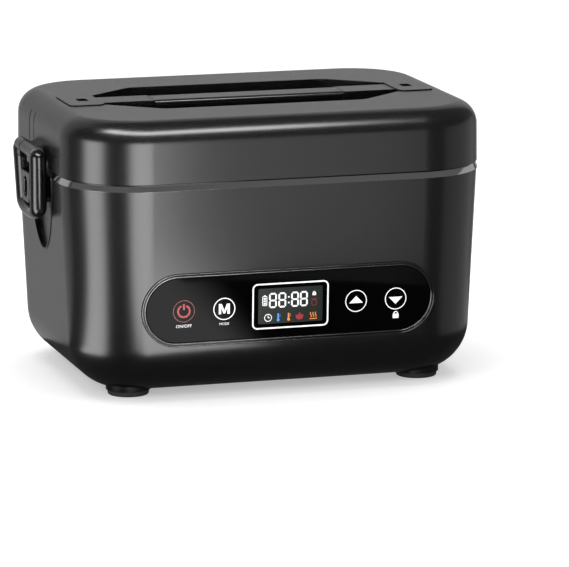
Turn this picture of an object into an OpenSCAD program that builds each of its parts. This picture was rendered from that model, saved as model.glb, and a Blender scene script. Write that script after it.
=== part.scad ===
// Electric lunch box: a tapered, rounded tub with a heated well, a lift-off lid,
// two side loop latches, a pull-up carrying handle and a touch panel on the front.
// Millimetres. +Z is up, -Y is the front, the feet stand on Z = 0.

/* [Body] */
// Width of the tub at the lid seam
body_w = 240; // [232:1:260]
// Depth of the tub at the lid seam
body_d = 177; // [172:1:190]
// Radius of the upright corners at the lid seam
corner_r = 43; // [40:1:46]
// Height of the lid seam above the table
seam_z = 122; // [120:0.5:128]
// Inward lean of the tub's sides, mm for each mm of height
side_taper = 0.047; // [0.035:0.001:0.055]
// Radius that rounds the sides into the underside
bottom_r = 28; // [26:0.5:30]
// Wall thickness of the tub
tub_wall = 3; // [2.6:0.1:3.4]
// Thickness of the tub's floor
tub_floor = 4; // [3.8:0.1:4.6]
// Radius of each foot
foot_r = 11.5; // [9:0.5:13]
// Height of each foot
foot_h = 3; // [2.5:0.5:4]
// Distance from the tub's left and right sides to each foot's middle
foot_in_x = 36; // [34:1:40]
// Distance from the tub's front and back to each foot's middle
foot_in_y = 33.5; // [31.5:0.5:36.5]
// Height of the bright band under the seam
band_h = 3.7; // [3:0.1:4.5]
// How far the bright band stands out of the tub
band_proud = 0.5; // [0.2:0.1:0.8]
// Depth of the seat that the bright band lies in
band_seat = 1.2; // [1:0.1:1.4]

/* [Lid] */
// Height of the lid above the seam
lid_h = 34; // [33:0.5:38]
// Dark gap between the tub and the lid
seam_gap = 0.4; // [0.3:0.1:0.8]
// Radius that rounds the lid's sides into its top
lid_edge_r = 13; // [11:0.5:14]
// Inward lean of the lid's sides, mm for each mm of height
lid_taper = 0.01; // [0:0.005:0.02]
// Wall thickness of the lid
lid_wall = 2.8; // [2.4:0.1:3]
// Thickness of the lid's top
lid_top = 3; // [2.6:0.1:3.4]
// Thickness of the cover plate inside the lid
cover_t = 2.5; // [2:0.1:3]
// Depth of the finger recess under the handle
recess_depth = 21; // [18:0.5:22]
// Half of the recess's straight length
recess_flat = 58; // [57:0.5:62]
// Half of the recess's whole length
recess_tip = 88; // [86:0.5:90]
// Half of the recess's width
recess_half = 40; // [36:0.5:43]
// Half of the recess's width at its ends
recess_end = 15; // [14:0.5:17]
// Wall thickness of the recess
recess_wall = 2.5; // [2:0.1:3]

/* [Handle] */
// Travel of the handle as it is pulled up
handle_travel = 12.5; // [9:0.5:13]
// Half of the grip's length
grip_half = 56; // [50:0.5:56]
// Width of the grip
grip_w = 22; // [18:0.5:24]
// Thickness of the grip
grip_t = 5.5; // [4.5:0.1:7]
// Width of the arms beside the grip
arm_w = 19; // [16:0.5:20]
// Thickness of the arms
arm_t = 6; // [5:0.1:7]
// Thickness of the spine under the grip
spine_t = 2.5; // [2:0.1:3]
// Length of each end plate along the handle
plate_l = 18; // [17:0.5:19]
// Width of each end plate
plate_w = 36; // [32:0.5:38]
// Thickness of each end plate
plate_t = 4; // [3.5:0.1:4.4]
// How far the end plates stand above the lid
plate_proud = 0.6; // [0.2:0.1:1]
// Radius of the four guide pins
guide_r = 3; // [2.5:0.1:3.4]
// Distance of the guide pins from the handle's end
guide_in = 4.5; // [4:0.1:6]
// Distance between the two guide pins at one end
guide_gap = 22; // [18:0.5:24]

/* [Latches] */
// Half width of the loop latch at its hinge
latch_half_top = 18; // [17:0.5:19]
// Half width of the loop latch at its foot
latch_half_low = 15; // [14.5:0.5:16]
// Distance of the loop latch's lowest edge below the lid seam
latch_low_down = 28.5; // [27:0.5:30]
// Distance of the latch's hinge axis above the lid seam
latch_axis_up = 10; // [9:0.5:11.5]
// Distance of the hinge axis from the lid's side
latch_axis_out = 5.7; // [5.5:0.1:6.2]
// Radius of the latch's hinge barrel
barrel_r = 5.2; // [4.8:0.1:5.3]
// Thickness of the latch out from its hinge axis
latch_out = 6; // [5.5:0.1:6.5]
// Radius of the latch's hinge pin
latch_pin_r = 1.5; // [1.2:0.1:1.8]
// Half width of the hinge lug on the lid
lug_half = 8; // [6:0.5:9]
// Half width of the catch that the latch closes over
catch_half = 10.3; // [8:0.1:10.4]
// Height of the catch
catch_h = 17.4; // [14:0.1:18]
// Depth of the shield-shaped pocket behind each latch
pocket_depth = 4; // [3:0.1:5]
// Half width of that pocket
pocket_half = 18; // [17:0.5:20]
// Distance of the pocket's pointed lower tip below the lid seam
pocket_tip_down = 48; // [44:0.5:52]

/* [Control panel] */
// Height of the panel's middle above the table
panel_z = 51.4; // [51:0.1:54]
// Width of the panel with its bright rim
panel_w = 168; // [160:0.5:170]
// Height of the panel with its bright rim
panel_h = 41; // [38:0.5:41]
// Width of the bright rim
rim_w = 2.2; // [1.6:0.1:3]
// How far the rim stands out of the tub
rim_proud = 0.8; // [0.4:0.1:1]
// How far the glass stands out of the tub
lens_proud = 0.45; // [0.1:0.05:0.6]
// Depth of the panel's seat in the tub
panel_seat = 1.5; // [1.2:0.1:1.6]
// Width of the display behind the glass
display_w = 50; // [44:1:54]
// Height of the display behind the glass
display_h = 28; // [24:1:29]
// Thickness of the display
display_t = 6; // [5:0.1:7]
// Sideways place of the four touch keys
key_x = [-60.3, -37.3, 38.5, 61.5];

/* [Well and tray] */
// Distance from the tub's left and right sides to the well's opening
well_in_x = 17.8; // [17:0.1:19]
// Distance from the tub's front and back to the well's opening
well_in_y = 18.8; // [18:0.1:19.5]
// Corner radius of the well at its top
well_r = 30; // [28:0.5:32]
// Height of the well's floor above the table
well_floor_z = 49; // [48.5:0.5:52]
// Thickness of the well's sheet
well_t = 1.5; // [1:0.1:1.6]
// Inward lean of the well's and tray's sides over their height
well_draft = 7; // [5:0.5:8]
// Thickness of the tray's steel sheet
tray_t = 0.8; // [0.6:0.1:1.2]
// Width of the tray's rolled rim
tray_rim_w = 3.6; // [3:0.1:4]
// Height of the tray's rolled rim
tray_rim_h = 2.5; // [2:0.1:3]
// Radius that rounds the tray's wall into its floor
tray_bottom_r = 10; // [8:0.5:12]
// Height of the step in the tray's wall, below the rim
tray_step_down = 14; // [10:0.5:18]
// Width of the step in the tray's wall
tray_step_w = 2; // [1:0.1:2.5]
// Width of the sealing ring in the lid
gasket_w = 7; // [5:0.5:7.5]

/* [Heater] */
// Length of the heating plate under the well
plate_x = 130; // [120:1:140]
// Depth of the heating plate under the well
plate_y = 80; // [76:1:90]
// Thickness of the heating plate
heat_plate_t = 3; // [2:0.1:4]
// Length of the heater block
heater_w = 90; // [80:1:96]
// Depth of the heater block
heater_d = 40; // [34:1:42]
// Thickness of the heater block
heater_t = 5; // [4:0.1:5.5]
// Thickness of the clamp strap
clamp_t = 2; // [1.5:0.1:2.5]

/* [Battery and boards] */
// Radius of one battery cell
cell_r = 9.1; // [9:0.05:9.2]
// Length of one battery cell
cell_l = 65; // [64.8:0.1:65.4]
// Spacing between battery cells
cell_pitch = 20; // [19:0.1:20.5]
// Wall thickness of the battery holder
holder_t = 2; // [1.6:0.1:2.4]
// Thickness of the insulation over the battery
pad_t = 3; // [2:0.1:3.5]
// Thickness of the circuit boards
board_t = 1.6; // [1.2:0.1:1.8]

/* [Power inlet] */
// Sideways place of the power inlet on the back
inlet_x = 58; // [48:1:60]
// Height of the power inlet above the table
inlet_z = 43; // [42:0.5:45]
// Width of the power inlet's body
inlet_w = 24; // [22:0.5:28]
// Height of the power inlet's body
inlet_h = 14; // [12:0.5:15]

/* [Fits] */
// Clearance between a piece and its seat
fit_gap = 0.2; // [0.15:0.01:0.25]
// Radial running clearance of pins in their bores
pin_gap = 0.05; // [0.03:0.01:0.08]
// Clearance between pieces that move past each other
move_gap = 0.5; // [0.4:0.05:0.6]
// Radius of the threaded shank of the case screws
screw_r = 1.3; // [1.1:0.05:1.5]
// Radius of the case screws' heads
screw_head_r = 2.6; // [2.4:0.1:2.8]
// Height of the case screws' heads
screw_head_h = 1.4; // [1:0.1:1.6]

/* [Hidden] */
$fn = 64;

// How far a cutting solid runs past the face that it opens
cut = 1;
// Steps in a rounded edge
arc_steps = 7;
hx = body_w / 2;
hy = body_d / 2;
foot_x = hx - foot_in_x;
foot_y = hy - foot_in_y;
bottom_z = foot_h;
lid_low_z = seam_z + seam_gap;
lid_top_z = seam_z + lid_h;
lean = atan(side_taper);
band_low_z = seam_z - band_h;
latch_low_z = seam_z - latch_low_down;
latch_axis_z = seam_z + latch_axis_up;
pocket_tip_z = seam_z - pocket_tip_down;

// ---- rounded and tapered tubs, as exact solids -------------------------------

// Profile of a tub: pairs of [inset from the widest outline, height], bottom to top
function tub_profile(g, floor_g, top_z) =
  let (zc = bottom_z + bottom_r, i0 = side_taper * (seam_z - zc))
  concat(
    [for (k = [0 : arc_steps])
      let (a = 90 - 90 * k / arc_steps)
      [i0 + g + (bottom_r - g) * (1 - cos(a)),
       zc - (bottom_r - floor_g) * sin(a)]],
    [[g, top_z]]);

function lid_profile(g, top_g, low_z) =
  let (zc = lid_top_z - lid_edge_r, i0 = lid_taper * (zc - lid_low_z))
  concat(
    [[g, low_z]],
    [for (k = [0 : arc_steps])
      let (a = 90 * k / arc_steps)
      [i0 + g + (lid_edge_r - g) * (1 - cos(a)),
       zc + (lid_edge_r - top_g) * sin(a)]]);

function both_sides(h, prof) = concat(
  [for (p = prof) [h - p[0], p[1]]],
  [for (k = [len(prof) - 1 : -1 : 0]) [prof[k][0] - h, prof[k][1]]]);

function one_side(r, prof) = concat(
  [[0, prof[0][1]]],
  [for (p = prof) [r - p[0], p[1]]],
  [[0, prof[len(prof) - 1][1]]]);

module tub(ax, ay, r, prof) {
  rotate([90, 0, 0])
    linear_extrude(height = 2 * (ay - r), center = true)
      polygon(both_sides(ax, prof));
  rotate([90, 0, 90])
    linear_extrude(height = 2 * (ax - r), center = true)
      polygon(both_sides(ay, prof));
  for (q = [0 : 3]) {
    sx = (q == 0 || q == 3) ? 1 : -1;
    sy = (q < 2) ? 1 : -1;
    translate([sx * (ax - r), sy * (ay - r), 0])
      rotate([0, 0, 90 * q])
        rotate_extrude(angle = 90)
          polygon(one_side(r, prof));
  }
}

// Rounded rectangle of half sizes ax and ay
module round_rect(ax, ay, r) {
  square([2 * (ax - r), 2 * ay], center = true);
  square([2 * ax, 2 * (ay - r)], center = true);
  for (sx = [-1, 1], sy = [-1, 1])
    translate([sx * (ax - r), sy * (ay - r)])
      circle(r = r);
}

module slab(ax, ay, r, z0, z1) {
  translate([0, 0, z0])
    linear_extrude(height = z1 - z0)
      round_rect(ax, ay, r);
}

// Outline with two half-round ends
module stadium(w, h) {
  square([w - h, h], center = true);
  for (s = [-1, 1])
    translate([s * (w - h) / 2, 0])
      circle(r = h / 2);
}

// Points of a polygon with each corner rounded by its own radius
function round_corner(a, b, c, r) =
  r == 0 ? [b] :
  let (
    u = (a - b) / norm(a - b),
    v = (c - b) / norm(c - b),
    th = acos(u * v),
    m = b + (u + v) / norm(u + v) * r / sin(th / 2),
    p0 = b + u * r / tan(th / 2),
    p1 = b + v * r / tan(th / 2),
    a0 = atan2(p0[1] - m[1], p0[0] - m[0]),
    a1 = atan2(p1[1] - m[1], p1[0] - m[0]),
    turn = (a1 - a0 + 900) % 360 - 180)
  [for (i = [0 : arc_steps]) m + r * [cos(a0 + turn * i / arc_steps),
                                      sin(a0 + turn * i / arc_steps)]];

function round_poly(pts, radii) = [
  for (k = [0 : len(pts) - 1])
    each round_corner(pts[(k + len(pts) - 1) % len(pts)], pts[k],
                      pts[(k + 1) % len(pts)], radii[k])];

// ---- tub ---------------------------------------------------------------------

well_hx = hx - well_in_x;
well_hy = hy - well_in_y;
// Half sizes of the well's flange and of the shelf that carries it
shelf_t = 2.5;
shelf_z = band_low_z + 0.7;
flange_hx = hx - tub_wall - fit_gap * 2;
flange_hy = hy - tub_wall - fit_gap * 2;
flange_r = corner_r - tub_wall - fit_gap * 2;
flange_top_z = shelf_z + well_t;
shelf_open = well_t + 0.8;
// Screws that hold the well's flange, on the corners' diagonals
liner_screw_in = 19.5;
liner_screw_x = hx - liner_screw_in;
liner_screw_y = hy - liner_screw_in;
boss_r = 4;
boss_h = 11;

// Opening in the tub's floor
hatch_hx = 82;
hatch_hy = 39;
hatch_r = 8;
hatch_ledge = 6;
hatch_seat = 2.2;
hatch_screw_in = 5;
hatch_screw_x = hatch_hx - hatch_screw_in;
hatch_screw_y = hatch_hy - hatch_screw_in;
hatch_boss_h = 6;
hatch_screw_l = 7;
hatch_head_h = 0.9;
hatch_head_up = 1.1;

panel_y = hy - side_taper * (seam_z - panel_z);
window_in_x = 11;
window_in_z = 5;
window_w = panel_w - 2 * window_in_x;
window_h = panel_h - 2 * window_in_z;
post_out = 5;
post_x = window_w / 2 + post_out;
post_r = 3.5;
board_back = panel_seat + 0.1 + display_t;

module on_front() {
  translate([0, -panel_y, panel_z])
    rotate([90 + lean, 0, 0])
      children();
}

inlet_y = hy - side_taper * (seam_z - inlet_z);
inlet_depth = 16;
inlet_flange = 3;
inlet_flange_t = 1.5;

module on_back() {
  translate([inlet_x, inlet_y, inlet_z])
    rotate([-90 - lean, 0, 0])
      children();
}

pocket_x = hx - pocket_depth - side_taper * (seam_z - latch_low_z) + 0.3;
pocket_top_z = band_low_z - 0.3;
pocket_round_z = latch_low_z + 4.5;

module pocket_outline(g, top_z) {
  drop = pocket_round_z - pocket_tip_z + g;
  half = pocket_half + g;
  arch_r = (drop * drop + half * half) / (2 * half);
  translate([-half, pocket_round_z])
    square([2 * half, top_z - pocket_round_z]);
  intersection() {
    translate([half - arch_r, pocket_round_z])
      circle(r = arch_r);
    translate([arch_r - half, pocket_round_z])
      circle(r = arch_r);
    translate([-half, pocket_tip_z - g - cut])
      square([2 * half, drop + cut + 0.01]);
  }
}

module side_prism(x0, x1) {
  translate([x0, 0, 0])
    rotate([90, 0, 90])
      linear_extrude(height = x1 - x0)
        children();
}

// Power board: half length, depth, distance from the tub's back and height of its posts
board_x = 60;
board_d = 24;
board_in_y = 22.5;
board_post_h = 5;
board_high_y = hy - board_in_y;
board_low_y = board_high_y - board_d;
board_z = bottom_z + tub_floor + board_post_h;
board_post_in_x = 5;
board_post_in_y = 4;
board_screw_l = 5;
board_post_x = board_x - board_post_in_x;
board_post_y = [board_low_y + board_post_in_y, board_high_y - board_post_in_y];

module base_shell() {
  color([0.13, 0.13, 0.14])
  difference() {
    union() {
      difference() {
        tub(hx, hy, corner_r, tub_profile(0, 0, seam_z));
        tub(hx, hy, corner_r, tub_profile(tub_wall, tub_floor, seam_z + cut));
      }
      // shelf that carries the well
      difference() {
        slab(hx - tub_wall / 2, hy - tub_wall / 2, corner_r - tub_wall / 2,
             shelf_z - shelf_t, shelf_z);
        slab(well_hx + shelf_open, well_hy + shelf_open, well_r + shelf_open,
             shelf_z - shelf_t - cut, shelf_z + cut);
      }
      for (sx = [-1, 1], sy = [-1, 1])
        translate([sx * liner_screw_x, sy * liner_screw_y, shelf_z - shelf_t - boss_h])
          cylinder(r = boss_r, h = boss_h + shelf_t / 2);
      // seats of the feet
      for (sx = [-1, 1], sy = [-1, 1])
        translate([sx * foot_x, sy * foot_y, bottom_z])
          cylinder(r = foot_r + 1, h = tub_floor + 0.5);
      // bosses of the floor hatch
      for (sx = [-1, 1], sy = [-1, 1])
        translate([sx * hatch_screw_x, sy * hatch_screw_y, bottom_z + hatch_seat])
          cylinder(r = boss_r, h = tub_floor - hatch_seat + hatch_boss_h);
      // posts of the power board
      for (sx = [-1, 1], y = board_post_y)
        translate([sx * board_post_x, y, bottom_z + tub_floor / 2])
          cylinder(r = boss_r, h = board_z - bottom_z - tub_floor / 2);
      // posts of the display board
      on_front()
        for (s = [-1, 1])
          translate([s * post_x, 0, -board_back])
            cylinder(r = post_r, h = board_back - tub_wall + 0.5);
      // walls behind the latch pockets
      for (m = [0, 1])
        mirror([m, 0, 0])
          side_prism(pocket_x - tub_wall, hx - tub_wall - 0.5)
            pocket_outline(tub_wall, shelf_z);
    }
    for (m = [0, 1])
      mirror([m, 0, 0])
        side_prism(pocket_x, hx + cut)
          pocket_outline(0, pocket_top_z);
    // seat of the bright band
    difference() {
      slab(hx + cut, hy + cut, corner_r + cut, band_low_z, seam_z + cut);
      slab(hx - band_seat, hy - band_seat, corner_r - band_seat,
           band_low_z - cut, seam_z + 2 * cut);
    }
    // floor hatch with its rebate
    slab(hatch_hx, hatch_hy, hatch_r, bottom_z - cut, bottom_z + hatch_seat);
    difference() {
      slab(hatch_hx - hatch_ledge, hatch_hy - hatch_ledge, hatch_r / 2,
           bottom_z, bottom_z + tub_floor + cut);
      for (sx = [-1, 1], sy = [-1, 1])
        translate([sx * hatch_screw_x, sy * hatch_screw_y, bottom_z])
          cylinder(r = boss_r, h = tub_floor + 2 * cut);
    }
    for (sx = [-1, 1], sy = [-1, 1]) {
      translate([sx * hatch_screw_x, sy * hatch_screw_y, bottom_z - cut])
        cylinder(r = screw_r + pin_gap, h = hatch_screw_l + 3 + cut);
      translate([sx * liner_screw_x, sy * liner_screw_y,
                 flange_top_z - liner_screw_l - screw_end])
        cylinder(r = screw_r + pin_gap, h = 2 * liner_screw_l);
    }
    for (sx = [-1, 1], y = board_post_y)
      translate([sx * board_post_x, y, board_z - board_screw_l + board_t / 2 + 0.2])
        cylinder(r = screw_r + pin_gap, h = board_screw_l);
    // panel seat, panel window and screw holes in the posts
    on_front() {
      translate([0, 0, -panel_seat])
        linear_extrude(height = panel_seat + 3)
          stadium(panel_w + 2 * fit_gap, panel_h + 2 * fit_gap);
      translate([0, 0, -tub_wall - 3])
        linear_extrude(height = tub_wall + 3)
          stadium(window_w, window_h);
      for (s = [-1, 1])
        translate([s * post_x, 0, -board_back - cut])
          cylinder(r = screw_r + pin_gap, h = cut + 4);
    }
    on_back()
      translate([-inlet_w / 2 - fit_gap, -inlet_h / 2 - fit_gap, -10])
        cube([inlet_w + 2 * fit_gap, inlet_h + 2 * fit_gap, 20]);
  }
}

// Depth of a screw's hole past its end
screw_end = 2.5;

module screw(head_down, shank) {
  // a pan-head screw; its head's seat lies on Z = 0
  m = head_down ? 1 : 0;
  mirror([0, 0, m]) {
    cylinder(r = screw_head_r, h = screw_head_h);
    translate([0, 0, -shank])
      cylinder(r = screw_r, h = shank + screw_head_h / 2);
  }
}

hatch_plate_low = bottom_z + 0.1;
hatch_plate_high = bottom_z + hatch_seat - 0.1;

module bottom_cover() {
  color([0.16, 0.16, 0.17])
  difference() {
    union() {
      slab(hatch_hx - fit_gap, hatch_hy - fit_gap, hatch_r - fit_gap,
           hatch_plate_low, hatch_plate_high);
      difference() {
        slab(hatch_hx - hatch_ledge - fit_gap, hatch_hy - hatch_ledge - fit_gap,
             hatch_r / 2 - fit_gap, hatch_plate_low, bottom_z + tub_floor);
        for (sx = [-1, 1], sy = [-1, 1])
          translate([sx * hatch_screw_x, sy * hatch_screw_y, hatch_plate_high])
            cylinder(r = boss_r + fit_gap, h = 10);
      }
    }
    for (sx = [-1, 1], sy = [-1, 1])
      translate([sx * hatch_screw_x, sy * hatch_screw_y, bottom_z - cut]) {
        cylinder(r = screw_r + fit_gap, h = 10);
        cylinder(r = screw_head_r + fit_gap, h = cut + hatch_head_up);
      }
  }
}

module base_screws() {
  color([0.5, 0.5, 0.52])
  for (sx = [-1, 1], sy = [-1, 1])
    translate([sx * hatch_screw_x, sy * hatch_screw_y, bottom_z + hatch_head_up]) {
      translate([0, 0, -hatch_head_h])
        cylinder(r = screw_head_r, h = hatch_head_h);
      cylinder(r = screw_r, h = hatch_screw_l);
    }
}

module foot(sx, sy) {
  color([0.06, 0.06, 0.06])
  translate([sx * foot_x, sy * foot_y, 0]) {
    cylinder(r1 = foot_r - 0.8, r2 = foot_r, h = 0.8);
    translate([0, 0, 0.8])
      cylinder(r = foot_r, h = foot_h - 0.8);
  }
}

module foot_front_left() { foot(-1, -1); }
module foot_front_right() { foot(1, -1); }
module foot_rear_left() { foot(-1, 1); }
module foot_rear_right() { foot(1, 1); }

module chrome_band() {
  color([0.8, 0.8, 0.82])
  difference() {
    slab(hx + band_proud, hy + band_proud, corner_r + band_proud,
         band_low_z + 0.05, seam_z - 0.05);
    slab(hx - band_seat + 0.05, hy - band_seat + 0.05, corner_r - band_seat + 0.05,
         band_low_z - cut, seam_z + cut);
  }
}

// ---- well, heater and battery ------------------------------------------------

well_depth = flange_top_z - well_floor_z;
function well_profile(g, low_z, high_z) = [
  [well_draft + 8 - g, low_z],
  [well_draft + 2.3 - g, low_z + 2.3],
  [well_draft - g, low_z + 8],
  [-g, high_z]];

module well_liner() {
  color([0.72, 0.72, 0.73])
  difference() {
    union() {
      tub(well_hx, well_hy, well_r, well_profile(well_t, well_floor_z - well_t, shelf_z));
      slab(flange_hx, flange_hy, flange_r, shelf_z, flange_top_z);
    }
    tub(well_hx, well_hy, well_r, well_profile(0, well_floor_z, flange_top_z + cut));
    for (sx = [-1, 1], sy = [-1, 1])
      translate([sx * liner_screw_x, sy * liner_screw_y, shelf_z - cut])
        cylinder(r = screw_r + fit_gap, h = well_t + 2 * cut);
  }
}

liner_screw_l = 8;

module liner_screws() {
  color([0.6, 0.6, 0.62])
  for (sx = [-1, 1], sy = [-1, 1])
    translate([sx * liner_screw_x, sy * liner_screw_y, flange_top_z])
      screw(false, liner_screw_l);
}

heat_top_z = well_floor_z - well_t;
heat_low_z = heat_top_z - heat_plate_t;
heater_low_z = heat_low_z - heater_t;
clamp_out = 8;
clamp_x = heater_w / 2 + clamp_out;
clamp_w = 16;
clamp_end = 5;
plate_corner_r = 12;

module heating_plate() {
  color([0.75, 0.75, 0.76])
  difference() {
    slab(plate_x / 2, plate_y / 2, plate_corner_r, heat_low_z, heat_top_z);
    for (s = [-1, 1])
      translate([s * clamp_x, 0, heat_low_z - cut])
        cylinder(r = screw_r + pin_gap, h = cut + 2);
  }
}

module ptc_heater() {
  color([0.78, 0.74, 0.66])
  translate([-heater_w / 2, -heater_d / 2, heater_low_z])
    cube([heater_w, heater_d, heater_t]);
}

module heater_clamp() {
  color([0.62, 0.62, 0.64])
  difference() {
    union() {
      translate([-clamp_x - clamp_end, -clamp_w / 2, heater_low_z - clamp_t])
        cube([2 * (clamp_x + clamp_end), clamp_w, clamp_t]);
      for (s = [-1, 1])
        translate([s * clamp_x, 0, heater_low_z - clamp_t])
          cylinder(r = clamp_end, h = heater_t + clamp_t);
    }
    for (s = [-1, 1])
      translate([s * clamp_x, 0, heater_low_z - clamp_t - cut])
        cylinder(r = screw_r + fit_gap, h = heater_t + clamp_t + 2 * cut);
  }
}

thermostat_x = -30;
thermostat_r = 7;
thermostat_h = 8;
thermostat_lip = 1.5;
thermostat_lip_t = 2;

module thermostat() {
  color([0.2, 0.2, 0.2])
  translate([thermostat_x, heater_d / 2 + thermostat_r + 3, heat_low_z]) {
    translate([0, 0, -thermostat_lip_t])
      cylinder(r = thermostat_r + thermostat_lip, h = thermostat_lip_t);
    translate([0, 0, -thermostat_h])
      cylinder(r = thermostat_r, h = thermostat_h - thermostat_lip_t / 2);
  }
}

fuse_x = 20;
fuse_l = 16;
fuse_w = 4;
fuse_lead = 3;
fuse_lead_r = 0.6;

module thermal_fuse() {
  color([0.85, 0.82, 0.7])
  translate([fuse_x, heater_d / 2 + fuse_w / 2 + 7, heat_low_z - fuse_w]) {
    translate([-fuse_l / 2, -fuse_w / 2, 0])
      cube([fuse_l, fuse_w, fuse_w]);
    translate([-fuse_l / 2 - fuse_lead, 0, fuse_w / 2])
      rotate([0, 90, 0])
        cylinder(r = fuse_lead_r, h = fuse_l + 2 * fuse_lead);
  }
}

sensor_x = 40;
sensor_r = 3;
sensor_h = 7;
sensor_strap_l = 12;
sensor_strap_w = 8;
sensor_strap_t = 1.5;

module temperature_sensor() {
  color([0.7, 0.7, 0.72])
  translate([sensor_x, -heater_d / 2 - sensor_strap_w / 2 - 5, heat_low_z - sensor_h]) {
    cylinder(r = sensor_r, h = sensor_h);
    translate([-sensor_strap_l / 2, -sensor_strap_w / 2, sensor_h - sensor_strap_t])
      cube([sensor_strap_l, sensor_strap_w, sensor_strap_t]);
  }
}

holder_low_z = bottom_z + tub_floor;
cell_z = holder_low_z + holder_t + 0.05 + cell_r;
cell_mid = cell_l / 2 + holder_t / 2 + 1;
holder_hx = cell_mid + cell_l / 2 + 1 + holder_t;
holder_hy = cell_pitch + cell_r + 1 + holder_t;
holder_high_z = cell_z + cell_r + 1;

module battery_holder() {
  color([0.2, 0.21, 0.22])
  difference() {
    translate([-holder_hx, -holder_hy, holder_low_z])
      cube([2 * holder_hx, 2 * holder_hy, holder_high_z - holder_low_z]);
    for (s = [-1, 1])
      translate([s * cell_mid - cell_l / 2 - 0.5, -holder_hy + holder_t,
                 holder_low_z + holder_t])
        cube([cell_l + 1, 2 * (holder_hy - holder_t), 40]);
  }
}

module battery_cells() {
  color([0.2, 0.35, 0.6])
  for (s = [-1, 1], k = [-1, 0, 1])
    translate([s * cell_mid - cell_l / 2, k * cell_pitch, cell_z])
      rotate([0, 90, 0])
        cylinder(r = cell_r, h = cell_l);
}

module insulation_pad() {
  color([0.85, 0.83, 0.75])
  translate([-holder_hx, -holder_hy, holder_high_z])
    cube([2 * holder_hx, 2 * holder_hy, pad_t]);
}

coil_x = -38;
coil_w = 22;
coil_d = 16;
coil_h = 15;
can_x = 2;
can_r = 6;
can_h = 17;
relay_x = 18;
relay_w = 20;
relay_d = 14;
relay_h = 10;
part_in = 3;

module power_board() {
  color([0.05, 0.3, 0.15])
  difference() {
    union() {
      translate([-board_x, board_low_y, board_z])
        cube([2 * board_x, board_high_y - board_low_y, board_t]);
      translate([coil_x, board_low_y + part_in, board_z + board_t / 2])
        cube([coil_w, coil_d, coil_h]);
      translate([can_x, board_low_y + part_in + can_r + 2, board_z + board_t / 2])
        cylinder(r = can_r, h = can_h);
      translate([relay_x, board_low_y + part_in, board_z + board_t / 2])
        cube([relay_w, relay_d, relay_h]);
    }
    for (sx = [-1, 1], y = board_post_y)
      translate([sx * board_post_x, y, board_z - cut])
        cylinder(r = screw_r + fit_gap, h = board_t + 2 * cut);
  }
}

// ---- control panel -----------------------------------------------------------

lens_gap = 0.15;

module panel_rim() {
  color([0.75, 0.75, 0.77])
  on_front()
    translate([0, 0, -panel_seat])
      linear_extrude(height = panel_seat + rim_proud)
        difference() {
          stadium(panel_w, panel_h);
          stadium(panel_w - 2 * rim_w, panel_h - 2 * rim_w);
        }
}

module panel_glass() {
  color([0.03, 0.03, 0.035])
  on_front()
    translate([0, 0, -panel_seat])
      linear_extrude(height = panel_seat + lens_proud)
        stadium(panel_w - 2 * rim_w - 2 * lens_gap, panel_h - 2 * rim_w - 2 * lens_gap);
}

module display_module() {
  color([0.25, 0.28, 0.26])
  on_front()
    translate([-display_w / 2 + 0.5, -display_h / 2, -board_back])
      cube([display_w, display_h, display_t]);
}

display_board_end = 5;
display_board_h = 26;

module display_board() {
  color([0.05, 0.25, 0.12])
  on_front()
    difference() {
      translate([-post_x - display_board_end, -display_board_h / 2, -board_back - board_t])
        cube([2 * (post_x + display_board_end), display_board_h, board_t]);
      for (s = [-1, 1])
        translate([s * post_x, 0, -board_back - board_t - cut])
          cylinder(r = screw_r + fit_gap, h = board_t + 2 * cut);
    }
}

spring_r = 3.5;
spring_wire = 0.6;
spring_down = 1;

module touch_springs() {
  color([0.8, 0.75, 0.5])
  on_front()
    for (x = key_x)
      translate([x, -spring_down, -board_back])
        difference() {
          cylinder(r = spring_r, h = display_t);
          translate([0, 0, -cut])
            cylinder(r = spring_r - spring_wire, h = display_t + 2 * cut);
        }
}

module board_screws() {
  color([0.6, 0.6, 0.62])
  union() {
    for (sx = [-1, 1], y = board_post_y)
      translate([sx * board_post_x, y, board_z + board_t])
        screw(false, board_screw_l);
    on_front()
      for (s = [-1, 1])
        translate([s * post_x, 0, -board_back - board_t])
          screw(true, 4.5);
  }
}

module power_inlet() {
  color([0.05, 0.05, 0.05])
  on_back()
    difference() {
      union() {
        linear_extrude(height = inlet_flange_t)
          round_rect(inlet_w / 2 + inlet_flange, inlet_h / 2 + inlet_flange, 3);
        translate([-inlet_w / 2, -inlet_h / 2, -inlet_depth])
          cube([inlet_w, inlet_h, inlet_depth + 0.5]);
      }
      translate([0, 0, 1.5 - inlet_depth])
        linear_extrude(height = inlet_depth + 5)
          stadium(inlet_w - 6, inlet_h - 5);
      for (s = [-1, 1])
        translate([s * 4.3, 0, -inlet_depth - cut])
          cylinder(r = 1.2, h = 5);
    }
}

module inlet_pins() {
  color([0.85, 0.83, 0.7])
  on_back()
    for (s = [-1, 1])
      translate([s * 4.3, 0, -inlet_depth - 3])
        cylinder(r = 1.2, h = inlet_depth);
}

// ---- latch catches on the tub ------------------------------------------------

latch_axis_x = hx + latch_axis_out;
bar_in_x = latch_axis_x + 2.6;
catch_x = bar_in_x - fit_gap;
catch_high_z = pocket_top_z;
catch_low_z = catch_high_z - catch_h;

module latch_catch() {
  color([0.1, 0.1, 0.11])
  difference() {
    side_prism(pocket_x, catch_x)
      polygon(round_poly(
        [[-catch_half, catch_high_z], [-catch_half + 1.5, catch_low_z],
         [catch_half - 1.5, catch_low_z], [catch_half, catch_high_z]],
        [1.5, 4, 4, 1.5]));
    side_prism(catch_x - 7, catch_x + cut)
      translate([0, (catch_low_z + catch_high_z) / 2])
        rotate([0, 0, 90])
          stadium(10, 5);
  }
}

module latch_catch_left() { mirror([1, 0, 0]) latch_catch(); }
module latch_catch_right() { latch_catch(); }

// ---- food tray ---------------------------------------------------------------

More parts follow.
